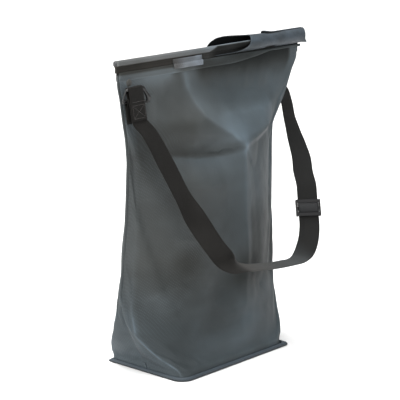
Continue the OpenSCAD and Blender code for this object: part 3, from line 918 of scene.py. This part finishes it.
def upsample(grid, rows, cols):
    """bilinear resampling to (rows + 1, cols + 1)"""
    a, b = np.linspace(0, grid.shape[0] - 1, rows + 1), np.linspace(0, grid.shape[1] - 1, cols + 1)
    i, j = np.minimum(a.astype(int), grid.shape[0] - 2), np.minimum(b.astype(int), grid.shape[1] - 2)
    part_a, part_b = (a - i)[:, None, None], (b - j)[None, :, None]

    def corner(p, q):
        return grid[p][:, q]

    return ((corner(i, j)*(1 - part_a) + corner(i + 1, j)*part_a)*(1 - part_b)
            + (corner(i, j + 1)*(1 - part_a) + corner(i + 1, j + 1)*part_a)*part_b)


def keep_clear(grid, side, gap):
    """holds a panel's points at least gap away from the surface between the panels"""
    across = np.linspace(0, 1, grid.shape[1])[None, :]
    limit = mid_y(grid[..., 2], across) + side * gap
    grid[..., 1] = side * np.maximum(side * grid[..., 1], side * limit)


grids = {side: panel_grid(COLS, ROWS, side) for side in (FRONT, REAR)}
shifts = cloth_shift(panel_grid(70, 88, FRONT), panel_grid(70, 88, REAR))
for side, shift in zip((FRONT, REAR), shifts):
    grids[side] = grids[side] + upsample(shift, ROWS, COLS)
    keep_clear(grids[side], side, np.where(grids[side][..., 2] < 140, .2, WALL))


def build_panel(name, side, node):
    outer = grids[side]
    along, across = np.gradient(outer, axis=0), np.gradient(outer, axis=1)
    inner = outer + side * unit(np.cross(across, along)) * WALL
    keep_clear(inner, side, .15)
    girth = run_length(outer, 1)
    girth = girth - girth[:, COLS // 2][:, None]
    uv = np.stack([girth, run_length(outer, 0)], -1).reshape(-1, 2) * MM
    obj = sheet_solid(name, outer, inner, BODY, uv, along_rows=True)
    set_tone(obj, np.tile(panel_tone(COLS, ROWS, side).ravel(), 2))
    subdivide(obj)
    register(obj, "bag", node)


def build_seam(name, side, node):
    """flange that follows the panels' meeting edge: deep and narrow low down, flat and wide
    higher up"""
    col = 0 if side == LEFT else -1
    edge = (grids[FRONT][:, col] + grids[REAR][:, col]) / 2
    edge = edge[(edge[:, 2] > 12) & (edge[:, 2] < 551)]
    part = fade(edge[:, 2], 128, 158)
    width, thick = .2 + 5.1 * part, 8.5 - 5.6 * part
    # outward and crosswise shares of width and thickness
    profile = [(-1.2, -.5), (0, -.5), (.55, -.43), (.86, -.34), (1, 0), (.86, .34),
               (.55, .43), (0, .5), (-1.2, .5)]
    wave = .5 * soft_noise(np.arange(len(edge)) / 9.0, 2.0 + side)
    rings = np.stack([edge + np.stack([
        side * out * np.where(out < 0, 1, width) * (1 + .06*wave),
        cross*thick + wave*.8*max(out, 0)*part, 0*wave], -1) for out, cross in profile], 1)
    uv = np.stack([rings[..., 0].ravel(), rings[..., 2].ravel()], -1) * MM
    register(loft(name, rings, BODY, uv=uv), "bag", node)


build_panel("bag_front_panel", FRONT, "front_panel")
build_panel("bag_rear_panel", REAR, "rear_panel")
build_seam("bag_left_seam", LEFT, "left_seam")
build_seam("bag_right_seam", RIGHT, "right_seam")


# ------------------------------------------------------------------ base rim
def rounded_rect(width, depth, radii):
    """closed path, counter-clockwise from the front left; radii in the same order"""
    corners = []
    for k, (sign_x, sign_y) in enumerate([(-1, -1), (1, -1), (1, 1), (-1, 1)]):
        radius = radii[k]
        x, y = sign_x*(width/2 - radius), sign_y*(depth/2 - radius)
        start = math.pi*(1 + k/2)
        corners.append([(x + radius*math.cos(a), y + radius*math.sin(a))
                        for a in np.linspace(start, start + math.pi/2, 10)])
    path = []
    for k in range(4):
        path += corners[k]
        a, b = np.array(corners[k][-1]), np.array(corners[(k + 1) % 4][0])
        path += [tuple(a + (b - a)*t) for t in np.linspace(0, 1, 27)[1:-1]]
    return np.array(path)


def build_rim():
    outline = rounded_rect(291, 181.4, (24, 5, 14, 2))
    inner = rounded_rect(284, 174, (17,)*4)
    gap = np.hypot(*(outline - inner).T)
    # an offset of 3 in the profile reaches the outline
    outward = unit(outline - inner) * (gap / 3)[:, None]
    # outward offset, height
    profile = [(.2, .3), (1.8, 0), (3.1, .2), (3.6, .9), (3.8, 2.2), (3.7, 3.8), (3.3, 5.2),
               (2.6, 6.3), (1.7, 7.0), (.8, 7.3), (.2, 6.9), (.05, 4)]
    count, size = len(outline), len(profile)
    rings = []
    for offset, z in profile:
        wave = .35 * soft_noise(np.arange(count)/7.0, z*.3) * (z > 3)
        x, y = (inner + outward*(offset + wave)[:, None]).T
        rings.append(np.stack([x, y, z + .5*wave], -1))
    points = np.stack(rings, 1)
    faces = [(j*size + i, j*size + (i + 1) % size, ((j + 1) % count)*size + (i + 1) % size,
              ((j + 1) % count)*size + i)[::-1] for j in range(count) for i in range(size)]
    uv = np.stack([np.repeat(run_length(outline), size),
                   np.tile(run_length(np.array(profile)), count)], -1) * MM
    obj = new_object("base_rim_weld", points.reshape(-1, 3)*MM, faces, RIM, uv=uv)
    z = points[..., 2]
    # painted shade along the rim's foot, where it meets the floor, and painted light along its top
    set_tone(obj, -1.1*slope(z, 2.6, 1.0) + .25*slope(z, 4.5, 6.5))
    subdivide(obj)
    register(obj, "bag", "base_rim")


build_rim()


# ------------------------------------------------------------------ mouth
LIP_OFFSET = WALL + .1 + .35 + .15   # back of a lip from the mouth's middle plane


def build_lip(name, side, node):
    x = np.linspace(MOUTH_LEFT + 8, MOUTH_RIGHT + 2, 150)
    top = PANEL_TOP - .2 + .35*soft_noise(x/40, 4)
    low = np.full(len(x), PANEL_TOP - 15.6)
    if side == FRONT:
        # the lower edge rises to the right
        low = low + 11.5*slope(x, 62, 174)**1.25
    low = low + .6*soft_noise(x/33, 1 + side)
    back_y = MOUTH_Y + side*LIP_OFFSET
    heights = [i/8 for i in range(9)]
    rings = [np.stack([x, back_y + 0*x, low + (top - low)*f], -1) for f in heights]
    for f in [1 - i/8 for i in range(9)]:
        bulge = 2.3*(.55 + .45*math.sin(math.pi*f)**.4)
        # the left end of the front strip is pressed flush and thins out downwards
        flush = slope(x, -88, -98) * (side == FRONT)
        thin = np.minimum(bulge, .12 + 2.2*slope(f, 0, .75)**1.2)
        bulge = bulge*(1 - flush) + flush*thin
        rings.append(np.stack([x, back_y + side*bulge, low + (top - low)*f], -1))
    points = np.stack(rings, 1)
    obj = loft(name, points, BODY if side == FRONT else LIP)
    x, z = points[..., 0], points[..., 2]
    # painted light and shade: the front strip is lighter on its left part and at its far right end,
    # shaded from the middle rightwards below the sleeve and, on its left part, along its top under
    # the hem; the rear strip is shaded, most along its top
    if side == FRONT:
        tone = .80*slope(x, -70, -90) - .95*slope(x, -40, -14)
        tone = tone - 1.7*slope(z, 546.5, 549.5)*slope(x, -80, -92) + .35*slope(x, 150, 210)
    else:
        tone = -.5 - .5*slope(z, 548, 552)
    set_tone(obj, tone + .16*soft_noise(x/26, z/9 + 7), rest=[0, 0])
    smooth_by_angle(obj)
    register(obj, "bag", node)


def build_hem():
    """rolled hem round the rod, with its flat neck down into the lips"""
    x = np.linspace(MOUTH_LEFT + 2.5, MOUTH_RIGHT - 2.5, 190)
    radius = 5.6
    profile = [(MOUTH_Y + radius*math.cos(a), ROD_Z + radius*math.sin(a))
               for a in np.radians(np.linspace(-62, 242, 26))]
    profile += [(MOUTH_Y - 1.9, ROD_Z - 6.1), (MOUTH_Y - 1.65, ROD_Z - 10),
                (MOUTH_Y - 1.65, PANEL_TOP - .6), (MOUTH_Y + 1.65, PANEL_TOP - .6),
                (MOUTH_Y + 1.65, ROD_Z - 10), (MOUTH_Y + 1.9, ROD_Z - 6.1)]
    swell = .28*soft_noise(x/21, 3)
    sway = .35*soft_noise(x/48, 8)
    rings = []
    for y, z in profile:
        part = slope(z, ROD_Z - 12, ROD_Z)
        rings.append(np.stack([x, y + (y - MOUTH_Y)*swell*.12*part,
                               z + sway*.3*part + (z - ROD_Z)*swell*.10*part], -1))
    points = np.stack(rings, 1)
    obj = loft("mouth_rolled_hem", points, HEM)
    x, z = points[..., 0], points[..., 2]
    # painted shade below a line that steps up on the right half, where the sleeve covers the hem
    right = slope(x, 0, 24)
    line = ROD_Z - 2.6 + 7.7*right
    tone = .15 - (2.1 + 1.1*right)*np.clip((line - z)/(2.0 - .9*right), 0, 1)
    tone = tone + .12*soft_noise(x/30, 2) + .3*slope(x, -20, 40)
    set_tone(obj, tone, rest=[-1, -1])
    smooth_by_angle(obj)
    register(obj, "bag", "mouth_hem")


# sleeve angles run from 0 at the front (-Y) through 90 at the top
SLEEVE_R, SLEEVE_WALL, SLEEVE_Z = 13.5, 1.8, ROD_Z + .5
# angle, x of the oblique left mouth
SLEEVE_MOUTH = np.array([
    (-73, 13), (-69, 42), (-62, 66), (-45, 84), (-20, 97), (0, 103), (30, 107), (45, 109),
    (70, 113), (90, 115), (100, 103), (112, 81), (125, 56), (140, 38), (160, 22), (180, 14),
    (220, 8), (253, 5)])


def build_sleeve_shell():
    """slotted closure sleeve: open channel with an oblique left mouth and a flared right end"""
    slot = math.degrees(math.asin(4.0/SLEEVE_R))
    angles = np.radians(np.linspace(-90 + slot + .5, 270 - slot - .5, 81))
    steps = 110
    outer, inner = [], []
    for angle in angles:
        degrees = math.degrees(angle)
        start = float(np.interp(degrees, *SLEEVE_MOUTH.T))
        stop = 271 - 8.0*math.cos(angle)
        x = start + (stop - start)*np.linspace(0, 1, steps)
        end = slope(x, stop - 20, stop)
        low = bell(degrees + 50, 17)
        radius = SLEEVE_R + .30*soft_noise(x/34, angle*1.2) + .5*end**2 + 2.6*low*end**2.5
        # the wall behind the mouth is pushed up and back
        lift = np.interp(x, [0, 38, 72, 124, 175], [8.5, 8, 5.6, 2.2, 0])
        lift = lift * bell(degrees - 128, 46)
        # gap pulled open in the lower front edge
        slit = 4.6*bell(x - 168, 13, 4) * bell(degrees + 73, 13)
        for grid, depth in ((outer, 0), (inner, SLEEVE_WALL)):
            y = MOUTH_Y - math.cos(angle)*(radius - depth) + .22*lift
            z = SLEEVE_Z + math.sin(angle)*(radius - depth) + lift + slit
            grid.append(np.stack([x + 4.5*low*end**2, y, z], -1))
    outer, inner = np.array(outer), np.array(inner)
    x, z = outer[..., 0], outer[..., 2]
    uv = np.stack([x.ravel(), np.repeat(angles * SLEEVE_R, steps)], -1) * MM
    obj = sheet_solid("closure_sleeve_shell", outer, inner, SLEEVE, uv)
    # painted shade on the inside, which stays dark; the left cut edge is paler
    tone = .30*np.exp(-(x - x[:, :1])/1.6) - .10
    tone = tone + .30*soft_noise(x/24, z/9) + .14*soft_noise(x/5, z/4)
    degrees = np.degrees(angles)[:, None]
    # painted shadow in the gap in front of the overlapping layer and along the slit pulled open in
    # the lower front edge
    tone = tone - 2.4*bell(degrees - 78, 9) * bell(x - 180, 22, 4)
    tone = tone - 3.0*bell(degrees + 52, 9) * bell(x - 168, 14, 4)
    set_tone(obj, tone, rest=np.full(tone.size, -3.2))
    add_bevel(obj, width=.0004, segments=2, degrees=60)
    register(obj, "sleeve", "closure_sleeve")


def build_sleeve_overlap():
    """layer along the top of the sleeve's right half, with its left end lifted"""
    angles = np.radians(np.linspace(86, 150, 22))
    base_x = np.linspace(158, 266, 46)
    outer, inner = [], []
    for angle in angles:
        degrees = math.degrees(angle)
        gap = .35 + 3.6*bell(base_x - 158, 15)*bell(degrees - 105, 34)
        x = base_x + 10*((degrees - 105)/45)**2*slope(base_x, 200, 158)
        for grid, thick in ((outer, 1.1), (inner, 0)):
            radius = SLEEVE_R + gap + thick + .2*soft_noise(x/28, angle)
            grid.append(np.stack([x, MOUTH_Y - math.cos(angle)*radius,
                                  SLEEVE_Z + math.sin(angle)*radius], -1))
    outer, inner = np.array(outer), np.array(inner)
    x = outer[..., 0]
    uv = np.stack([x.ravel(), np.repeat(angles * SLEEVE_R, len(base_x))], -1) * MM
    obj = sheet_solid("closure_sleeve_overlap", outer, inner, SLEEVE, uv)
    # painted shade on the inner face; the outer face is a little lighter
    set_tone(obj, np.full(x.size, .25), rest=np.full(x.size, -2))
    register(obj, "sleeve", "closure_sleeve")


def build_patch():
    """patch that runs from the front lip up the recessed neck"""
    x = np.linspace(-92, -17, 34)
    # y from the mouth's middle, z from the panel top: outer face up, inner face down
    profile = [(-5.45, -8.5), (-6.1, -7.9), (-6.2, -5), (-6.15, -1.8), (-5.4, .1), (-4.0, .8),
               (-3.0, 1.7), (-2.8, 4), (-2.7, 7.6), (-2.45, 8.6),
               (-1.9, 8.6), (-2.0, 3), (-2.5, 1.0), (-4.6, -.1), (-5.0, -4), (-5.0, -8.5)]
    points = np.stack([
        np.stack([x, MOUTH_Y + y + 0*x,
                  PANEL_TOP + z + .4*soft_noise(x/14, PANEL_TOP + z)], -1)
        for y, z in profile], 1)
    obj = loft("mouth_lip_patch", points, PATCH)
    x, z = points[..., 0], points[..., 2]
    tone = -.75*slope(x, -62, -86) + .25*bell(x + 30, 9) + .25*soft_noise(x/13, z/8)
    set_tone(obj, tone, rest=[0, 0])
    smooth_by_angle(obj, 40)
    register(obj, "bag", "lip_patch")


build_lip("mouth_front_lip", FRONT, "front_lip")
build_lip("mouth_rear_lip", REAR, "rear_lip")
build_hem()
build_sleeve_shell()
build_sleeve_overlap()
build_patch()

# ------------------------------------------------------------------ anchors
# Each anchor has its own frame: origin on its ring's top bar, X along the bar. The right one
# is the left one turned half round the middle of the mouth.
ANCHOR_TURN = 5.2                    # degrees about Z
STRAP_LEAN = math.radians(10)        # lean of the strap ends in the anchor frame
LEFT_ANCHOR = np.array([-207.0, -37, 526])
RIGHT_ANCHOR = np.array([2*MOUTH_X + 207, 2*MOUTH_Y + 37, 526])
LOWER_BAR_Y, LOWER_BAR_Z = 8.0, -22.0
WIRE_R = 5.5/2


def turn(points, angle):
    """rotation about Z"""
    points = np.asarray(points, float)
    x, y, z = points[..., 0], points[..., 1], points[..., 2]
    return np.stack([x*math.cos(angle) - y*math.sin(angle),
                     x*math.sin(angle) + y*math.cos(angle), z], -1)


def lean(points):
    """rotation about X by the strap's lean"""
    points = np.asarray(points, float)
    x, y, z = points[..., 0], points[..., 1], points[..., 2]
    return np.stack([x, y*math.cos(STRAP_LEAN) + z*math.sin(STRAP_LEAN),
                     z*math.cos(STRAP_LEAN) - y*math.sin(STRAP_LEAN)], -1)


def at_anchor(side, points):
    angle = math.radians(ANCHOR_TURN)
    if side == "left":
        return LEFT_ANCHOR + turn(points, angle)
    return RIGHT_ANCHOR + turn(points, math.pi + angle)


def build_ring(side):
    """closed wire loop, hooked at its +X end with a knuckle at the top of the bend"""
    points = [
        (-19.4, 0, 0), (-12, 0, 0), (0, 0, 0), (12, 0, 0), (19.5, 0, 0), (22.6, -.6, -1.6),
        (26, -2.6, -7), (30, -4.4, -14), (33, -4.6, -20), (33, -1.5, -25), (29, 4.2, -25.5),
        (24, LOWER_BAR_Y - .5, LOWER_BAR_Z - .8), (17, LOWER_BAR_Y, LOWER_BAR_Z),
        (0, LOWER_BAR_Y, LOWER_BAR_Z), (-14, LOWER_BAR_Y, LOWER_BAR_Z),
        (-18.8, LOWER_BAR_Y, LOWER_BAR_Z), (-20.9, LOWER_BAR_Y - 1.2, LOWER_BAR_Z + 2.4),
        (-20.9, 1.8, -4), (-20.8, .4, -1)]
    path = smooth_path(points + points[:1], 7)[:-1]
    x, z = path[:, 0], path[:, 2]
    radius = (WIRE_R + 1.2*bell(np.hypot(x - 23, z + 1), 4.5)
              + 1.3*bell(np.hypot(x - 32, z + 18), 8))
    radius = np.where(x < -19.5, WIRE_R - 1.5, radius)
    obj = closed_tube(side + "_ring_wire", at_anchor(side, path), radius, RING)
    register(obj, "bag", side + "_ring")


def build_tab(side):
    """webbing folded over the ring's lower bar"""
    bend = WIRE_R + .07 + .8
    arc = [(LOWER_BAR_Y + bend*math.cos(a), LOWER_BAR_Z + bend*math.sin(a))
           for a in np.radians(np.linspace(-20, 200, 16))]
    rear_leg = [(LOWER_BAR_Y - 2.2, -60), (LOWER_BAR_Y - 1.2, -50), (LOWER_BAR_Y + .2, -40),
                (LOWER_BAR_Y + 1.1, LOWER_BAR_Z - 12)]
    front_leg = [(LOWER_BAR_Y - 1.2, LOWER_BAR_Z - 12), (LOWER_BAR_Y - 2.6, -44),
                 (LOWER_BAR_Y - 4.2, -58)]
    centre = smooth_path([(8.0, y, z) for y, z in rear_leg + arc + front_leg], 4)
    across = np.tile(turn([1, 0, 0], math.radians(ANCHOR_TURN)), (len(centre), 1))
    across = across * (1 if side == "left" else -1)
    obj = ribbon(side + "_anchor_tab", at_anchor(side, centre), across, width=40, thick=1.5,
                 mat=TAB)
    register(obj, "bag", side + "_tab")


def build_rivet(side):
    """low cap on the front at the left end, on the rear at the right end"""
    facing, centre_x = (FRONT, -201) if side == "left" else (REAR, 2*MOUTH_X + 201)
    # radius, height
    profile = [(.05, 1.5), (2.0, 1.45), (4.0, 1.25), (5.4, .95), (6.3, .55), (6.5, .2),
               (5.8, 0)]
    angle = np.linspace(0, 2*np.pi, 28, endpoint=False)
    rings = [np.stack([centre_x + radius*np.cos(angle),
                       MOUTH_Y + facing*2.35 + facing*height + 0*angle,
                       533.5 + radius*np.sin(angle)], -1) for radius, height in profile]
    obj = loft(side + "_rivet_cap", rings, RIVET)
    register(obj, "bag", side + "_rivet")


for side in ("left", "right"):
    build_ring(side)
    build_tab(side)
    build_rivet(side)

# ------------------------------------------------------------------ strap
STRAP_BEND = WIRE_R + .06 + .9
# (y, z) of the strap's end round the ring's top bar, in the leaning anchor frame
STRAP_LOOP = [(-3.4, -54), (-3.45, -42), (-3.5, -30), (-3.6, -18), (-STRAP_BEND, -6)]
STRAP_LOOP += [(STRAP_BEND*math.cos(a), STRAP_BEND*math.sin(a))
               for a in np.radians(np.arange(180, -1, -12))]
STRAP_LOOP += [(STRAP_BEND, -5), (2.2, -13), (.2, -20), (-.9, -28), (-1.2, -40), (-1.3, -54)]
# the adjuster's centre, its direction along the strap and its outward direction
SLIDER = np.array([174.0, -113, 264.5])
SLIDER_ALONG = unit(np.array([.285, .34, .896]))
SLIDER_IN = np.array([.576, .687, -.443])
SLIDER_ACROSS = [.766, -.643, 0]
# x, y, z and the width's direction in degrees, clockwise from +X seen from above
STRAP_RUN = [
    (-194, -58, 452, -3), (-171, -77, 396, 3), (-150, -99, 335, 5), (-134.5, -116, 295, 36),
    (-112, -137, 248, 24), (-97, -147, 226, 24), (-85, -157, 215, 5), (-66, -167, 210, -25),
    (-38, -174, 206.5, -45), (-4, -176.5, 202.5, -62), (42, -173, 197.5, -80),
    (80, -163, 192.5, -100), (106, -154, 193.5, -122), (124, -147, 200, -135),
    (144, -138, 214, -140)]
STRAP_RUN += [(*(SLIDER + SLIDER_ALONG*k), -140) for k in (-32, -16, 0, 22, 44)]
STRAP_RUN += [
    (199, -80, 325, -143), (211, -66, 347, -150), (221, -48, 370, -163),
    (235, -26, 393, -182), (249, -4, 418, -190), (256, 8, 440, -186), (250, 11, 456, -185)]


def strap_path():
    """centre line and width directions, from the left anchor to the right"""
    loop = lean([(0, y, z) for y, z in STRAP_LOOP])
    run = np.array(STRAP_RUN, float)
    centre = np.vstack([at_anchor("left", loop), run[:, :3], at_anchor("right", loop[::-1])])
    angle = np.radians(np.concatenate([np.full(len(loop), -ANCHOR_TURN), run[:, 3],
                                       np.full(len(loop), -180 - ANCHOR_TURN)]))
    across = np.stack([np.cos(angle), -np.sin(angle), 0*angle], -1)
    # the directions are scaled up so that both blend smoothly as one path
    path = smooth_path(np.hstack([centre, across*40]), 9)
    return path[:, :3], unit(path[:, 3:])


def build_strap():
    centre, across = strap_path()
    obj = ribbon("shoulder_strap", centre, across, width=38, thick=1.8, mat=WEB, wobble=.25)
    points = np.empty(len(obj.data.vertices)*3, np.float32)
    obj.data.vertices.foreach_get("co", points)
    points = points.reshape(-1, 3)/MM
    x, z = points[:, 0], points[:, 2]
    tone = .12*soft_noise(x/24, z/30)
    # painted light on the left bend below its kink and along the low run, whose faces turn up to the
    # light; lighter above the adjuster
    tone += .6*slope(z, 292, 278)*(x < -70)*slope(z, 225, 237)
    tone += 3.0*slope(z, 232, 218)*slope(x, -90, -68)*slope(x, 135, 95)
    tone += .30*slope(z, 300, 340)*(x > 150)*slope(z, 420, 380)
    set_tone(obj, tone)
    register(obj, "carry_strap", "strap_webbing")


def build_wrap():
    """webbing that comes up through the adjuster, over its middle bar and down again"""
    # distance along SLIDER_IN, distance along the strap
    points = [(-2.2, -9.0), (-3.6, -8.2), (-5.0, -5.5), (-5.7, -1), (-5.6, 3), (-4.8, 6.4),
              (-3.4, 8.4), (-2.2, 9.0)]
    centre = smooth_path([SLIDER + SLIDER_IN*y + SLIDER_ALONG*z for y, z in points], 6)
    across = np.tile(SLIDER_ACROSS, (len(centre), 1))
    obj = ribbon("adjuster_webbing_wrap", centre, across, width=37.4, thick=1.3, mat=WRAP)
    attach(obj, "slider")


def build_stitching(side):
    """boxed cross and a bar of stitches, each a short arched thread, in the strap's end"""
    verts, faces, uv = [], [], []
    outward = np.array([0, -1.0, 0])
    rings, sides = 7, 8

    def stitch(start, stop):
        direction = unit(stop - start)
        length = np.linalg.norm(stop - start)
        sideways = np.cross(direction, outward)
        base = len(verts)
        for i in range(rings):
            t = i/(rings - 1)
            arch = math.sin(math.pi*t)
            centre = start + (stop - start)*t + outward*(.42*arch**.6 - .1)
            radius = .32*(.45 + .55*arch**.5)
            for j in range(sides):
                a = 2*math.pi*j/sides
                verts.append(centre + radius*(math.cos(a)*outward + math.sin(a)*sideways))
                uv.append((t*length*MM, a*.0001))
        for i in range(rings - 1):
            for j in range(sides):
                low, high = base + i*sides, base + (i + 1)*sides
                after = (j + 1) % sides
                faces.append((low + j, low + after, high + after, high + j))
        faces.append(tuple(base + j for j in range(sides))[::-1])
        faces.append(tuple(base + (rings - 1)*sides + j for j in range(sides)))

    def face_y(z):
        return -3.5 - .9 + .1*max(0, (z + 54)/54)

    half_w, top, low = 15.5, -28.0, -50.0
    top_y, low_y, bar_y = face_y(top), face_y(low), face_y(-34)
    rows = [((-half_w, top_y, top), (half_w, top_y, top)),
            ((-half_w, low_y, low), (half_w, low_y, low)),
            ((-half_w, top_y, top - .6), (-half_w, low_y, low + .6)),
            ((half_w, top_y, top - .6), (half_w, low_y, low + .6)),
            ((-half_w + 1, top_y, top - 1), (half_w - 1, low_y, low + 1)),
            ((half_w - 1, top_y, top - 1), (-half_w + 1, low_y, low + 1)),
            ((-half_w, bar_y, -22.0), (half_w, bar_y, -22.0))]
    for start, stop in np.array(rows):
        count = max(1, int(np.linalg.norm(stop - start)/3.0))
        for i in range(count):
            stitch(start + (stop - start)*((i + .14)/count),
                   start + (stop - start)*((i + .86)/count))
    obj = new_object(side + "_strap_stitching", at_anchor(side, lean(verts))*MM, faces,
                     THREAD, uv=uv)
    register(obj, "carry_strap", side + "_stitching")


build_strap()
build_wrap()
build_stitching("left")
build_stitching("right")


# ------------------------------------------------------------------ pieces kept from the CAD
def keep(node, mat, bevel=None, segments=3):
    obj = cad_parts[node]
    obj.data.materials.clear()
    obj.data.materials.append(mat)
    if bevel:
        add_bevel(obj, bevel*MM, segments, degrees=30).harden_normals = False


keep("slider_frame", HARD, bevel=.9)
keep("slider_bar", HARD, bevel=.8)
keep("closure_rod", ROD)
keep("base_panel", RIM, bevel=.4, segments=2)


# ------------------------------------------------------------------ stage, light, camera (m)
def aim(obj, direction):
    obj.rotation_mode = "QUATERNION"
    obj.rotation_quaternion = direction.to_track_quat("-Z", "Y")


def build_floor():
    mesh = bpy.data.meshes.new("floor")
    half = 60.0
    mesh.from_pydata([(-half, -half, 0), (half, -half, 0), (half, half, 0), (-half, half, 0)],
                     [], [(0, 1, 2, 3)])
    floor = bpy.data.objects.new("floor", mesh)
    floor.location.z = -.0006
    SCENE.collection.objects.link(floor)
    net = Nodes(bpy.data.materials.new("floor_paper"))
    clouds = net.noise(net.coords("Object"), scale=3, detail=3, rough=.5)
    paper = net.mix(clouds, (.90, .90, .90), (.94, .94, .94))
    # the camera sees a paler floor than the light that bounces from it
    seen = net.node("ShaderNodeLightPath").outputs["Is Camera Ray"]
    mesh.materials.append(net.surface({"Base Color": net.mix(seen, (.82, .82, .82), paper),
                                       "Roughness": .9, "Specular IOR Level": .1}))


def build_world():
    """plain white to the camera; lights the bag mostly from the upper left"""
    SCENE.world = bpy.data.worlds.new("studio")
    net = Nodes(SCENE.world)
    brightest = Vector((-.80, -.10, .6)).normalized()
    facing = net.vector_math("DOT_PRODUCT", net.coords("Generated"), brightest)
    strength = net.node("ShaderNodeMapRange", {
        "From Min": -.15, "From Max": 1.0, "To Min": .25, "To Max": 2.65,
        "Value": facing.outputs["Value"]}, interpolation_type="SMOOTHSTEP").outputs[0]
    glow = net.node("ShaderNodeBackground", {0: (1, .995, .985), 1: strength}).outputs[0]
    white = net.node("ShaderNodeBackground", {0: (1, 1, 1)}).outputs[0]
    seen = net.node("ShaderNodeLightPath").outputs["Is Camera Ray"]
    mixed = net.node("ShaderNodeMixShader", {0: seen, 1: glow, 2: white}).outputs[0]
    out = net.node("ShaderNodeOutputWorld")
    net.tree.links.new(mixed, out.inputs[0])


def build_light():
    light = bpy.data.lights.new("top", "AREA")
    light.shape, light.size = "DISK", 2.0
    light.energy, light.color = 98, (.985, .99, 1)
    obj = bpy.data.objects.new("top", light)
    obj.location = (-.2, .1, 3.2)
    aim(obj, Vector((0, 0, .2)) - Vector((-.2, .1, 3.2)))
    SCENE.collection.objects.link(obj)


def build_camera():
    camera = bpy.data.cameras.new("cam")
    camera.lens, camera.sensor_width = 148.5, 36
    camera.shift_y = .00975
    obj = bpy.data.objects.new("cam", camera)
    SCENE.collection.objects.link(obj)
    heading, pitch = math.radians(41.9), math.radians(13.4)
    target, distance = Vector((0, 0, .285)), 2.998
    forward = Vector((math.cos(heading)*math.cos(pitch), math.sin(heading)*math.cos(pitch),
                      -math.sin(pitch)))
    obj.location = target - forward*distance
    aim(obj, forward)
    SCENE.camera = obj


build_floor()
build_world()
build_light()
SCENE.view_settings.view_transform = "Standard"
SCENE.view_settings.look = "None"
build_camera()
